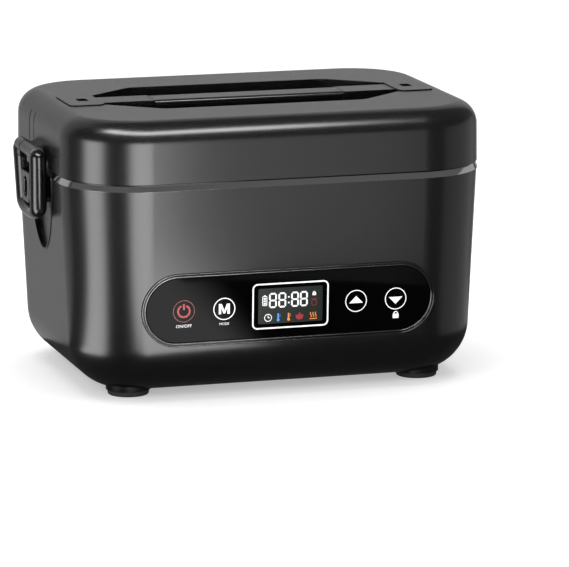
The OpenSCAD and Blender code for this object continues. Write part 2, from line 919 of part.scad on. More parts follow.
tray_low_z = well_floor_z + 0.3;
tray_high_z = flange_top_z + tray_rim_h;
tray_gap = 0.8;
tray_hx = well_hx - tray_gap;
tray_hy = well_hy - tray_gap;
tray_r = well_r - tray_gap;

// Outer profile of the tray; g is the sheet's thickness for the inside
function tray_profile(g, high_z) =
  let (low = tray_low_z + g, rr = tray_bottom_r - g, step_z = tray_high_z - tray_step_down,
       i1 = tray_step_w + 0.6 + g, i2 = well_draft + tray_step_w + g)
  concat(
    [for (k = [0 : arc_steps])
      let (a = 90 - 90 * k / arc_steps)
      [i2 + rr * (1 - cos(a)), low + rr * (1 - sin(a))]],
    [[i1, step_z - 1.2], [g + 0.6, step_z + 0.8], [g, high_z]]);

module food_tray() {
  color([0.78, 0.78, 0.79])
  difference() {
    union() {
      tub(tray_hx, tray_hy, tray_r, tray_profile(0, tray_high_z - 0.6));
      slab(tray_hx + tray_rim_w, tray_hy + tray_rim_w, tray_r + tray_rim_w,
           flange_top_z, tray_high_z);
    }
    tub(tray_hx, tray_hy, tray_r, tray_profile(tray_t, tray_high_z + cut));
  }
}

// ---- lid ---------------------------------------------------------------------

recess_low_z = lid_top_z - recess_depth;
cover_low_z = lid_low_z + 1.8;
cover_high_z = cover_low_z + cover_t;
plate_pocket_z = lid_top_z + plate_proud - plate_t - fit_gap;
plate_pad_z = plate_pocket_z - lid_top;
handle_end = recess_tip + plate_l;
guide_x = handle_end - guide_in;
guide_head_r = guide_r + 1.5;
guide_head_t = 2;
guide_low_z = cover_high_z + 1.9;
guide_boss_low_z = guide_low_z + guide_head_t + handle_travel + 0.3;
// Lid screws stand outside the sealing ring: one in each corner, one front and back
lid_screw_in = 9.5;
lid_screw_r = corner_r - lid_screw_in;
lid_screw_l = 8;
lid_screw_a = 25;
lid_screw_x = hx - corner_r + lid_screw_r * cos(lid_screw_a);
lid_screw_y = hy - corner_r + lid_screw_r * sin(lid_screw_a);
lid_screw_pts = concat(
  [for (sx = [-1, 1], sy = [-1, 1]) [sx * lid_screw_x, sy * lid_screw_y]],
  [[0, hy - 9], [0, 9 - hy]]);
// Half height of the lug's neck, low enough for the latch's front as it swings up
lug_neck_half = barrel_r - 1.4;
groove_mid_y = 23;
groove_half = 5;
groove_depth = 0.8;

function recess_pts(g) =
  let (
    dx = recess_tip - recess_flat,
    dy = recess_half - recess_end,
    nx = dy / norm([dx, dy]),
    ny = dx / norm([dx, dy]),
    x1 = recess_flat + g * (1 - ny) / nx,
    y2 = recess_end + g * (1 - nx) / ny,
    xo = recess_tip + g,
    yo = recess_half + g)
  [[x1, yo], [-x1, yo], [-xo, y2], [-xo, -y2], [-x1, -yo], [x1, -yo], [xo, -y2], [xo, y2]];

module recess_outline(g) {
  polygon(round_poly(recess_pts(g), [10, 10, 4, 4, 10, 10, 4, 4]));
}

module plate_outline(g) {
  for (s = [-1, 1])
    translate([s * (recess_tip + plate_l / 2 - 1), 0])
      round_rect(plate_l / 2 + 1 + g, plate_w / 2 + g, 4);
}

module lid_shell() {
  color([0.14, 0.14, 0.15])
  difference() {
    union() {
      difference() {
        tub(hx, hy, corner_r, lid_profile(0, 0, lid_low_z));
        tub(hx, hy, corner_r, lid_profile(lid_wall, lid_top, lid_low_z - cut));
      }
      // bowl of the finger recess
      translate([0, 0, recess_low_z - recess_wall])
        linear_extrude(height = recess_depth + recess_wall - 1)
          recess_outline(recess_wall);
      // floors under the handle's end plates, with the guides of its pins
      for (s = [-1, 1])
        translate([s * (handle_end - plate_l / 2), 0, plate_pad_z])
          linear_extrude(height = lid_top_z - plate_pad_z - 1)
            round_rect(plate_l / 2 + 2, plate_w / 2 + 2, 4);
      for (s = [-1, 1], t = [-1, 1])
        translate([s * guide_x, t * guide_gap / 2, guide_boss_low_z])
          cylinder(r = guide_r + 2.5, h = plate_pad_z - guide_boss_low_z + 1);
      // bosses of the inner cover
      for (p = lid_screw_pts)
        translate([p[0], p[1], cover_high_z])
          cylinder(r = boss_r, h = lid_top_z - lid_top - cover_high_z - 0.5);
      // hinge lugs of the latches
      for (m = [0, 1])
        mirror([m, 0, 0])
          translate([0, lug_half, 0])
            rotate([90, 0, 0])
              linear_extrude(height = 2 * lug_half) {
                translate([latch_axis_x, latch_axis_z])
                  circle(r = barrel_r - 0.8);
                translate([hx - lid_wall / 2 - 0.5, latch_axis_z - lug_neck_half])
                  square([latch_axis_out + lid_wall / 2 + 0.5, 2 * lug_neck_half]);
              }
    }
    translate([0, 0, recess_low_z])
      linear_extrude(height = recess_depth + cut)
        recess_outline(0);
    // shallow seats of the end plates
    translate([0, 0, plate_pocket_z])
      linear_extrude(height = 10)
        plate_outline(fit_gap * 2);
    for (s = [-1, 1], t = [-1, 1])
      translate([s * guide_x, t * guide_gap / 2, guide_boss_low_z - cut])
        cylinder(r = guide_r + pin_gap, h = 30);
    for (p = lid_screw_pts)
      translate([p[0], p[1], cover_high_z - cut])
        cylinder(r = screw_r + pin_gap, h = cut + lid_screw_l + 1);
    for (m = [0, 1])
      mirror([m, 0, 0]) {
        translate([latch_axis_x, lug_half + cut, latch_axis_z])
          rotate([90, 0, 0])
            cylinder(r = latch_pin_r + pin_gap, h = 2 * (lug_half + cut));
        side_prism(hx - groove_depth, hx + cut)
          translate([groove_mid_y, 0]) {
            translate([-groove_half, lid_low_z - cut])
              square([2 * groove_half, lid_h - groove_half - 5]);
            translate([0, lid_low_z - cut + lid_h - groove_half - 5])
              circle(r = groove_half);
          }
      }
  }
}

module lid_inner_cover() {
  color([0.7, 0.7, 0.7])
  difference() {
    slab(hx - lid_wall - fit_gap * 2, hy - lid_wall - fit_gap * 2,
         corner_r - lid_wall - fit_gap * 2, cover_low_z, cover_high_z);
    for (p = lid_screw_pts)
      translate([p[0], p[1], cover_low_z - cut])
        cylinder(r = screw_r + fit_gap, h = cover_t + 2 * cut);
  }
}

module lid_gasket() {
  color([0.5, 0.5, 0.5])
  difference() {
    slab(tray_hx + tray_rim_w + 1, tray_hy + tray_rim_w + 1, tray_r + tray_rim_w + 1,
         tray_high_z + 0.1, cover_low_z);
    slab(tray_hx + tray_rim_w + 1 - gasket_w, tray_hy + tray_rim_w + 1 - gasket_w,
         tray_r + tray_rim_w + 1 - gasket_w, tray_high_z - cut, cover_low_z + cut);
  }
}

module lid_screws() {
  color([0.6, 0.6, 0.62])
  for (p = lid_screw_pts)
    translate([p[0], p[1], cover_low_z])
      screw(true, cover_t + lid_screw_l);
}

// ---- handle ------------------------------------------------------------------

// How far the end plates reach over the recess, and the arms' gap to its end
plate_lap = 2;
plate_gap = 0.7;
grip_low_z = lid_top_z - grip_t;
spine_low_z = grip_low_z - spine_t;

module handle_bar() {
  color([0.16, 0.16, 0.17])
  difference() {
    union() {
      translate([-grip_half, -grip_w / 2 + 1, spine_low_z])
        cube([2 * grip_half, grip_w - 2, spine_t]);
      for (s = [-1, 1]) {
        translate([s * (grip_half + recess_tip - plate_gap) / 2, 0,
                   lid_top_z - arm_t / 2])
          cube([recess_tip - grip_half - plate_gap, arm_w, arm_t], center = true);
        translate([s * grip_half, 0, (spine_low_z + lid_top_z) / 2])
          translate([s * 2, 0, 0])
            cube([4, grip_w - 2, lid_top_z - spine_low_z], center = true);
        translate([s * (handle_end - plate_l / 2 - plate_lap / 2), 0,
                   lid_top_z + plate_proud - plate_t])
          linear_extrude(height = plate_t)
            round_rect((plate_l + plate_lap) / 2, plate_w / 2, 3.6);
      }
    }
    // dark slot in each end plate
    for (s = [-1, 1])
      translate([s * (recess_tip + 7), 0, lid_top_z - plate_t])
        linear_extrude(height = plate_t + 2)
          round_rect(3, 4.5, 1.2);
    for (s = [-1, 1], t = [-1, 1])
      translate([s * guide_x, t * guide_gap / 2, lid_top_z + plate_proud - plate_t - cut])
        cylinder(r = guide_r - 0.5, h = cut + 2.2);
  }
}

module handle_grip() {
  color([0.18, 0.18, 0.19])
  translate([-grip_half, 0, 0])
    rotate([90, 0, 90])
      linear_extrude(height = 2 * grip_half)
        polygon(round_poly(
          [[-grip_w / 2, grip_low_z], [grip_w / 2, grip_low_z],
           [grip_w / 2, lid_top_z], [-grip_w / 2, lid_top_z]],
          [0.5, 0.5, 3, 3]));
}

module handle_guide_pins() {
  color([0.6, 0.6, 0.62])
  for (s = [-1, 1], t = [-1, 1])
    translate([s * guide_x, t * guide_gap / 2, 0]) {
      translate([0, 0, guide_low_z])
        cylinder(r = guide_head_r, h = guide_head_t);
      translate([0, 0, guide_low_z + guide_head_t / 2])
        cylinder(r = guide_r,
                 h = lid_top_z + plate_proud - plate_t - guide_low_z - guide_head_t / 2);
      translate([0, 0, lid_top_z + plate_proud - plate_t - 1])
        cylinder(r = guide_r - 0.5 - pin_gap, h = 3);
    }
}

// ---- loop latches ------------------------------------------------------------

latch_top_z = latch_axis_z + barrel_r;
latch_in_x = hx + 1.3;
latch_out_x = latch_axis_x + latch_out;
leg_w = 5.2;
loop_window_low_z = latch_low_z + 6.8;
loop_window_high_z = latch_axis_z - 8;
loop_half_low = catch_half + move_gap;

module latch() {
  color([0.12, 0.12, 0.13])
  difference() {
    intersection() {
      side_prism(hx - 5, hx + 20)
        polygon(round_poly(
          [[-latch_half_low, latch_low_z], [latch_half_low, latch_low_z],
           [latch_half_top, latch_top_z], [-latch_half_top, latch_top_z]],
          [7, 7, 7, 7]));
      translate([0, 25, 0])
        rotate([90, 0, 0])
          linear_extrude(height = 50) {
            translate([latch_axis_x, latch_axis_z])
              circle(r = barrel_r);
            polygon(round_poly(
              [[latch_in_x, latch_low_z], [latch_out_x - 1.2, latch_low_z],
               [latch_out_x, latch_axis_z + 0.5], [latch_in_x, latch_axis_z + 0.5]],
              [1.5, 6, 3.5, 3]));
          }
    }
    // window that the catch stands in
    side_prism(hx - 6, hx + 21)
      polygon(round_poly(
        [[-loop_half_low, loop_window_low_z], [loop_half_low, loop_window_low_z],
         [latch_half_top - leg_w, loop_window_high_z],
         [leg_w - latch_half_top, loop_window_high_z]],
        [1.5, 1.5, 3, 3]));
    // the loop's lowest bar lies outside the catch
    translate([hx - 5, -loop_half_low, latch_low_z - cut])
      cube([bar_in_x - hx + 5, 2 * loop_half_low, loop_window_low_z - latch_low_z + 3]);
    // room for the hinge lug
    translate([hx - 5, -lug_half - 0.3, latch_axis_z - barrel_r - 0.4])
      cube([latch_axis_out + barrel_r - 0.6 + 5, 2 * lug_half + 0.6, 20]);
    translate([latch_axis_x, 30, latch_axis_z])
      rotate([90, 0, 0])
        cylinder(r = latch_pin_r + pin_gap, h = 60);
  }
}

module latch_left() { mirror([1, 0, 0]) latch(); }
module latch_right() { latch(); }

module latch_pin() {
  color([0.6, 0.6, 0.62])
  translate([latch_axis_x, latch_half_top - 1.5, latch_axis_z])
    rotate([90, 0, 0])
      cylinder(r = latch_pin_r, h = 2 * (latch_half_top - 1.5));
}

module latch_pin_left() { mirror([1, 0, 0]) latch_pin(); }
module latch_pin_right() { latch_pin(); }

base_shell();
bottom_cover();
base_screws();
foot_front_left();
foot_front_right();
foot_rear_left();
foot_rear_right();
chrome_band();
well_liner();
liner_screws();
heating_plate();
ptc_heater();
heater_clamp();
thermostat();
thermal_fuse();
temperature_sensor();
insulation_pad();
battery_holder();
battery_cells();
power_board();
display_board();
board_screws();
display_module();
touch_springs();
panel_rim();
panel_glass();
power_inlet();
inlet_pins();
latch_catch_left();
latch_catch_right();
food_tray();
lid_shell();
lid_inner_cover();
lid_gasket();
lid_screws();
handle_bar();
handle_grip();
handle_guide_pins();
latch_left();
latch_right();
latch_pin_left();
latch_pin_right();
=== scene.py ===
"""The looks of the electric lunch box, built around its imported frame.

Every size below is in millimetres in the part's own frame: +Z up, -Y the front,
the feet on Z = 0. Meshes are made in metres with MM.
"""
import math

import bmesh
import bpy
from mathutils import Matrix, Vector


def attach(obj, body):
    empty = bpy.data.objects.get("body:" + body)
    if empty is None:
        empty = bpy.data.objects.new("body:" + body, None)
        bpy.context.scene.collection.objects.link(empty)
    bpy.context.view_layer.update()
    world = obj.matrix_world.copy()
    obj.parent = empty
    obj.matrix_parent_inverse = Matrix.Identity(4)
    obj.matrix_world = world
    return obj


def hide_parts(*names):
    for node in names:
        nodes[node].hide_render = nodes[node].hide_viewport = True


MM = 0.001
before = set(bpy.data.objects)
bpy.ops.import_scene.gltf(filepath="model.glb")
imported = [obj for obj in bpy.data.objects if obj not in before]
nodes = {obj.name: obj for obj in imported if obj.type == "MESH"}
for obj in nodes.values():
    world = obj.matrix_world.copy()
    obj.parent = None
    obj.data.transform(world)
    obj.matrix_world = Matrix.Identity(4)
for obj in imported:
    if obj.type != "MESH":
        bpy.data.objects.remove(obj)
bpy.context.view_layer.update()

# ---- sizes shared with the frame ---------------------------------------------

HX, HY, CORNER_R = 120.0, 88.5, 43.0
SEAM_Z, LID_LOW_Z, LID_TOP_Z = 122.0, 122.4, 156.0
BOTTOM_Z, BOTTOM_R, TAPER = 3.0, 28.0, 0.047
BAND_LOW_Z, BAND_PROUD, BAND_LEAN, BAND_SEAT = 118.3, 0.4, 1.05, 1.2
BAND_EDGE_W, BAND_EDGE_H, BAND_BACK = 0.42, 0.7, BAND_SEAT + 0.2
HATCH_HX, HATCH_HY, HATCH_R, HATCH_DEEP = 82.0, 39.0, 8.0, 2.2
WALL, FLOOR = 3.0, 4.0
SHELF_Z, SHELF_T, SHELF_OPEN = 119.0, 2.5, 2.3
LID_EDGE_R, LID_TAPER, LID_WALL = 13.0, 0.01, 2.8
COVER_HIGH_Z = 126.7
FLANGE_TOP_Z = 120.5
WELL_HX, WELL_HY, WELL_R = 102.2, 69.7, 30.0
WELL_FLOOR_Z, WELL_T, DRAFT = 49.0, 1.5, 7.0
TRAY_GAP, TRAY_T, TRAY_RIM_W, TRAY_RIM_H = 0.8, 0.8, 3.6, 2.5
TRAY_LOW_Z, TRAY_HIGH_Z, TRAY_BOTTOM_R = 49.3, 123.0, 10.0
PANEL_Z, PANEL_W, PANEL_H = 51.4, 168.0, 41.0
RIM_W, RIM_PROUD, LENS_PROUD, PANEL_SEAT = 2.2, 0.8, 0.45, 1.5
LEAN = math.atan(TAPER)
FRONT_Y = HY - TAPER * (SEAM_Z - PANEL_Z)
POCKET_X, POCKET_LEAN = HX - 4 - TAPER * (SEAM_Z - 93.5) + 0.3, 0.022
POCKET_HALF, POCKET_TOP_Z, POCKET_ROUND_Z, POCKET_TIP_Z = 26.5, 118.0, 116.5, 74.0
LIP_W, LIP_PROUD = 0.9, 0.35
GROOVE_Y, GROOVE_R, GROOVE_W, GROOVE_TOP_Z = 17.6, 4.5, 1.2, 148.0
RECESS_DEPTH = 21.0
RECESS_FLAT, RECESS_TIP, RECESS_HALF, RECESS_END = 58.0, 88.0, 40.0, 15.0
PLATE_L, PLATE_W, PLATE_T, PLATE_PROUD, PLATE_LAP = 18.0, 36.0, 4.0, 0.6, 2.0
PLATE_POCKET_Z = LID_TOP_Z + PLATE_PROUD - PLATE_T - 0.2
HANDLE_END = RECESS_TIP + PLATE_L
GRIP_HALF, GRIP_W, GRIP_T, ARM_W, ARM_T, SPINE_T = 56.0, 22.0, 5.5, 19.0, 6.0, 2.5
AXIS_X, AXIS_Z, BARREL_R, BARREL_DROP = HX + 5.7, 132.0, 3.9, 1.6
LEG_X, LEG_TOP_Y, LEG_LOW_Y, LEG_TOP_Z, LEG_LOW_Z = HX + 5.4, 19.5, 16.0, 128.0, 100.3
LEG_R, LEG_DEEP, LEG_LEAN, FOOT_DROP = 4.9, 4.7, 0.03, 4.8
CATCH_HALF, CATCH_H = 10.3, 17.4
LUG_HALF = 8.0
FOOT_R, FOOT_H, FOOT_X, FOOT_Y = 11.5, 3.0, 84.0, 55.0
INLET_X, INLET_Z, INLET_W, INLET_H = 58.0, 43.0, 24.0, 14.0
INLET_Y = HY - TAPER * (SEAM_Z - INLET_Z)

ARC = 20


# ---- node materials ----------------------------------------------------------

class Mat:
    """A Principled material with small helpers for its node tree."""

    def __init__(self, name, color, rough, metallic=0.0):
        self.mat = bpy.data.materials.new(name)
        self.mat.use_nodes = True
        self.nt = self.mat.node_tree
        self.bsdf = self.nt.nodes["Principled BSDF"]
        self.color, self.rough = color, rough
        self.bsdf.inputs["Base Color"].default_value = (*color, 1)
        self.bsdf.inputs["Roughness"].default_value = rough
        self.bsdf.inputs["Metallic"].default_value = metallic
        self.coords = self.nt.nodes.new("ShaderNodeTexCoord").outputs["Object"]

    def mapped(self, scale):
        n = self.nt.nodes.new("ShaderNodeMapping")
        n.inputs["Scale"].default_value = scale
        self.nt.links.new(self.coords, n.inputs["Vector"])
        return n.outputs["Vector"]

    def noise(self, scale, detail=3.0, stretch=(1, 1, 1), rough=0.5):
        n = self.nt.nodes.new("ShaderNodeTexNoise")
        n.inputs["Scale"].default_value = scale
        n.inputs["Detail"].default_value = detail
        n.inputs["Roughness"].default_value = rough
        self.nt.links.new(self.mapped(stretch), n.inputs["Vector"])
        return n.outputs["Fac"]

    def span(self, fac, low, high, from_low=0.3, from_high=0.7):
        n = self.nt.nodes.new("ShaderNodeMapRange")
        n.inputs["From Min"].default_value = from_low
        n.inputs["From Max"].default_value = from_high
        n.inputs["To Min"].default_value = low
        n.inputs["To Max"].default_value = high
        self.nt.links.new(fac, n.inputs["Value"])
        return n.outputs["Result"]

    def vary_color(self, fac, amount):
        low = tuple(c * (1 - amount) for c in self.color)
        high = tuple(min(1, c * (1 + amount)) for c in self.color)
        n = self.nt.nodes.new("ShaderNodeMix")
        n.data_type = "RGBA"
        n.inputs["A"].default_value = (*low, 1)
        n.inputs["B"].default_value = (*high, 1)
        self.nt.links.new(self.span(fac, 0, 1), n.inputs["Factor"])
        self.nt.links.new(n.outputs["Result"], self.bsdf.inputs["Base Color"])

    def vary_rough(self, fac, amount):
        out = self.span(fac, self.rough - amount, self.rough + amount)
        self.nt.links.new(out, self.bsdf.inputs["Roughness"])

    def bump(self, fac, strength, distance):
        n = self.nt.nodes.new("ShaderNodeBump")
        n.inputs["Strength"].default_value = strength
        n.inputs["Distance"].default_value = distance
        self.nt.links.new(fac, n.inputs["Height"])
        self.nt.links.new(n.outputs["Normal"], self.bsdf.inputs["Normal"])


def plastic(name, color, rough, grain=900, strength=0.05, vary=0.02):
    m = Mat(name, color, rough)
    fine = m.noise(grain, 2)
    broad = m.noise(9, 3)
    m.vary_color(broad, vary)
    m.vary_rough(m.noise(220, 3), 0.01)
    m.bump(fine, strength, 0.0002)
    return m.mat


def metal(name, color, rough, stretch=(1, 1, 1), grain=400, strength=0.1, vary=0.05):
    m = Mat(name, color, rough, 1.0)
    lines = m.noise(grain, 3, stretch)
    m.vary_color(m.noise(14, 3), vary)
    m.vary_rough(lines, 0.06)
    m.bump(lines, strength, 0.0001)
    return m.mat


M = {
    "tub": plastic("tub_plastic", (0.0045, 0.0045, 0.0048), 0.26, strength=0.02),
    "lid": plastic("lid_plastic", (0.0045, 0.0045, 0.0048), 0.26, strength=0.02),
    "under": plastic("under_plastic", (0.014, 0.014, 0.015), 0.5, 1500, 0.2),
    "latch": plastic("latch_plastic", (0.0045, 0.0045, 0.0048), 0.2, strength=0.02),
    "handle": plastic("handle_plastic", (0.0045, 0.0045, 0.0048), 0.26, strength=0.02),
    "grip": plastic("grip_plastic", (0.0045, 0.0045, 0.0048), 0.24, strength=0.03),
    "band": metal("band_chrome", (0.55, 0.55, 0.56), 0.07, strength=0.01, vary=0.03),
    "rim": metal("rim_smoked_chrome", (0.16, 0.16, 0.165), 0.14, strength=0.02, vary=0.03),
    "glass": plastic("panel_gloss", (0.0012, 0.0012, 0.0014), 0.05, 300, 0.004, 0.1),
    "gloss": plastic("rim_gloss", (0.002, 0.002, 0.0022), 0.12, 300, 0.004, 0.1),
    "rubber": plastic("foot_rubber_mat", (0.018, 0.018, 0.019), 0.75, 1400, 0.4),
    "seal": plastic("seal_rubber_mat", (0.3, 0.3, 0.31), 0.6, 1000, 0.2),
    "steel": metal("tray_brushed", (0.66, 0.66, 0.67), 0.27, (1, 1, 30), 60, 0.25),
    "well": metal("well_aluminium_mat", (0.6, 0.6, 0.62), 0.36, (1, 1, 1), 500, 0.15),
    "screw": metal("screw_steel_mat", (0.55, 0.55, 0.57), 0.3),
    "ceramic": plastic("ceramic_mat", (0.62, 0.57, 0.48), 0.6, 700, 0.2),
    "felt": plastic("felt_mat", (0.62, 0.6, 0.53), 0.9, 500, 0.9, 0.15),
    "cell": plastic("cell_mat", (0.06, 0.14, 0.4), 0.25, 500, 0.05, 0.1),
    "board": plastic("board_mat", (0.015, 0.13, 0.05), 0.35, 800, 0.1, 0.2),
    "brass": metal("brass_mat", (0.75, 0.6, 0.28), 0.25),
    "part": plastic("part_mat", (0.03, 0.03, 0.032), 0.45, 900, 0.1),
    "cover": plastic("cover_mat", (0.42, 0.42, 0.43), 0.4, 900, 0.1),
}


# the panel's glass and rim reflect less than plain glass, whose level is 0.5
for key, specular in (("glass", 0.055), ("gloss", 0.16)):
    shader = M[key].node_tree.nodes["Principled BSDF"]
    shader.inputs["Specular IOR Level"].default_value = specular


def light_ink(name, color, strength):
    m = Mat(name, color, 0.4)
    m.vary_color(m.noise(700, 2), 0.06)
    m.bsdf.inputs["Emission Color"].default_value = (*color, 1)
    m.bsdf.inputs["Emission Strength"].default_value = strength
    return m.mat


M["white_ink"] = light_ink("white_ink", (0.86, 0.87, 0.87), 0.55)
M["red_ink"] = light_ink("red_ink", (0.34, 0.03, 0.038), 0.25)
M["dark_red_ink"] = light_ink("dark_red_ink", (0.13, 0.016, 0.02), 0.2)
M["blue_ink"] = light_ink("blue_ink", (0.08, 0.3, 0.75), 0.5)
M["orange_ink"] = light_ink("orange_ink", (0.8, 0.25, 0.05), 0.5)


# ---- mesh helpers ------------------------------------------------------------

def link(name, mesh, mat=None, body=None):
    ob = bpy.data.objects.new(name, mesh)
    bpy.context.scene.collection.objects.link(ob)
    if mat is not None:
        mesh.materials.clear()
        mesh.materials.append(mat)
    if body:
        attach(ob, body)
    return ob


def mesh_of(bm, name):
    bmesh.ops.recalc_face_normals(bm, faces=bm.faces)
    me = bpy.data.meshes.new(name)
    bm.to_mesh(me)
    bm.free()
    return me


def ring(hx, hy, r, inset, z, n=ARC):
    """Points of a rounded rectangle, counter-clockwise, (n + 1) to a corner."""
    pts = []
    rr = max(r - inset, 0.05)
    for q, (sx, sy) in enumerate(((1, 1), (-1, 1), (-1, -1), (1, -1))):
        cx, cy = sx * (hx - inset - rr), sy * (hy - inset - rr)
        for k in range(n + 1):
            a = math.radians(90 * q + 90 * k / n)
            pts.append((cx + rr * math.cos(a), cy + rr * math.sin(a), z))
    return pts


def loft(rings, closed=False):
    """A mesh through rings that all have the same number of points; closed joins
    the last ring to the first, and otherwise both ends are capped."""
    bm = bmesh.new()
    rows = [[bm.verts.new(Vector(p) * MM) for p in r] for r in rings]
    n = len(rows[0])
    last = len(rows) if closed else len(rows) - 1
    for i in range(last):
        a, b = rows[i], rows[(i + 1) % len(rows)]
        for k in range(n):
            bm.faces.new((a[k], a[(k + 1) % n], b[(k + 1) % n], b[k]))
    if not closed:
        bm.faces.new(list(reversed(rows[0])))
        bm.faces.new(rows[-1])
    bmesh.ops.remove_doubles(bm, verts=bm.verts, dist=1e-7)
    return bm


def prism(points, place, a, b):
    """A prism over a 2D outline; place maps (u, v, w) to a point, w from a to b."""
    bm = bmesh.new()
    low = [bm.verts.new(Vector(place(u, v, a)) * MM) for u, v in points]
    high = [bm.verts.new(Vector(place(u, v, b)) * MM) for u, v in points]
    n = len(points)
    for k in range(n):
        bm.faces.new((low[k], low[(k + 1) % n], high[(k + 1) % n], high[k]))
    bm.faces.new(list(reversed(low)))
    bm.faces.new(high)
    return bm


def on_z(u, v, w):
    return (u, v, w)


def on_x(u, v, w):
    return (w, u, v)


def on_front(u, v, w):
    """Panel coordinates: u to the right, v up along the front, w out of it."""
    c, s = math.cos(LEAN), math.sin(LEAN)
    return (u, -FRONT_Y - w * c - v * s, PANEL_Z + v * c - w * s)


def on_back(u, v, w):
    c, s = math.cos(LEAN), math.sin(LEAN)
    return (INLET_X + u, INLET_Y + w * c + v * s, INLET_Z + v * c - w * s)


def arc_points(cx, cy, r, a0, a1, n):
    return [(cx + r * math.cos(math.radians(a0 + (a1 - a0) * k / n)),
             cy + r * math.sin(math.radians(a0 + (a1 - a0) * k / n)))
            for k in range(n + 1)]


def circle_points(cx, cy, r, n=48):
    return arc_points(cx, cy, r, 0, 360, n)[:-1]


def stadium_points(w, h, n=24):
    r = h / 2
    return (arc_points((w - h) / 2, 0, r, -90, 90, n)
            + arc_points(-(w - h) / 2, 0, r, 90, 270, n))


def rounded_points(pts, radii, n=8):
    """The outline with each corner rounded by its own radius."""
    out = []
    m = len(pts)
    for k in range(m):
        a, b, c = (Vector(pts[(k + d) % m]) for d in (-1, 0, 1))
        r = radii[k]
        if r <= 0:
            out.append(tuple(b))
            continue
        u, v = (a - b).normalized(), (c - b).normalized()
        th = math.acos(max(-1, min(1, u.dot(v))))
        mid = b + (u + v).normalized() * (r / math.sin(th / 2))
        p0, p1 = b + u * (r / math.tan(th / 2)), b + v * (r / math.tan(th / 2))
        a0 = math.atan2(p0.y - mid.y, p0.x - mid.x)
        a1 = math.atan2(p1.y - mid.y, p1.x - mid.x)
        turn = (a1 - a0 + 3 * math.pi) % (2 * math.pi) - math.pi
        for i in range(n + 1):
            t = a0 + turn * i / n
            out.append((mid.x + r * math.cos(t), mid.y + r * math.sin(t)))
    return out


def rect_points(w, h, r, cx=0, cy=0, n=8):
    p = [(cx - w / 2, cy - h / 2), (cx + w / 2, cy - h / 2),
         (cx + w / 2, cy + h / 2), (cx - w / 2, cy + h / 2)]
    return rounded_points(p, [r] * 4, n)


def bake(ob):
    """Applies the object's modifiers to its mesh."""
    bpy.context.view_layer.update()
    dg = bpy.context.evaluated_depsgraph_get()
    me = bpy.data.meshes.new_from_object(ob.evaluated_get(dg))
    old = ob.data
    ob.modifiers.clear()
    ob.data = me
    bpy.data.meshes.remove(old)
    return ob


def boolean(ob, bms, operation="DIFFERENCE"):
    """Cuts bmesh solids from the object, or joins them to it."""
    cutters = []
    for bm in bms:
        cut = link("cutter", mesh_of(bm, "cutter"))
        cutters.append(cut)
        mod = ob.modifiers.new("cut", "BOOLEAN")
        mod.operation = operation
        mod.object = cut
        mod.solver = "EXACT"
    bake(ob)
    for cut in cutters:
        me = cut.data
        bpy.data.objects.remove(cut)
        bpy.data.meshes.remove(me)
    return ob


def soften(ob, width=0.6, segments=3, angle=32):
    """Rounds the sharp edges and keeps flat faces flat in the shading."""
    for p in ob.data.polygons:
        p.use_smooth = True
    if width > 0:
        mod = ob.modifiers.new("round", "BEVEL")
        mod.width = width * MM
        mod.segments = segments
        mod.limit_method = "ANGLE"
        mod.angle_limit = math.radians(angle)
        mod.use_clamp_overlap = True
        mod.harden_normals = False
    mod = ob.modifiers.new("normals", "WEIGHTED_NORMAL")
    mod.weight = 60
    mod.keep_sharp = True
    bake(ob)
    return ob


def piece(name, bm, mat, body, replaces=(), cuts=(), adds=(),
          width=0.6, segments=3, angle=32):
    ob = link(name, mesh_of(bm, name))
    if adds:
        boolean(ob, adds, "UNION")
    if cuts:
        boolean(ob, cuts)
    soften(ob, width, segments, angle)
    ob.data.materials.clear()
    ob.data.materials.append(mat)
    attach(ob, body)
    if replaces:
        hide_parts(*replaces)
    return ob


# ---- tub ---------------------------------------------------------------------

def tub_profile(g, floor_g, steps=ARC):
    zc = BOTTOM_Z + BOTTOM_R
    i0 = TAPER * (SEAM_Z - zc)
    out = []
    for k in range(steps + 1):
        a = math.radians(90 - 90 * k / steps)
        out.append((i0 + g + (BOTTOM_R - g) * (1 - math.cos(a)),
                    zc - (BOTTOM_R - floor_g) * math.sin(a)))
    return out


def pocket_points(g=0.0, top=POCKET_TOP_Z, n=22):
    """The latch pocket's outline: upright sides that close to a rounded tip."""
    half, drop = POCKET_HALF + g, POCKET_ROUND_Z - POCKET_TIP_Z + g
    right = []
    for k in range(n + 1):
        t = math.sin(math.radians(90 * k / n))
        right.append((half * math.sqrt(1 - t ** 1.6), POCKET_ROUND_Z - drop * t))
    left = [(-y, z) for y, z in reversed(right[:-1])]
    return [(half, top)] + right + left + [(-half, top)]


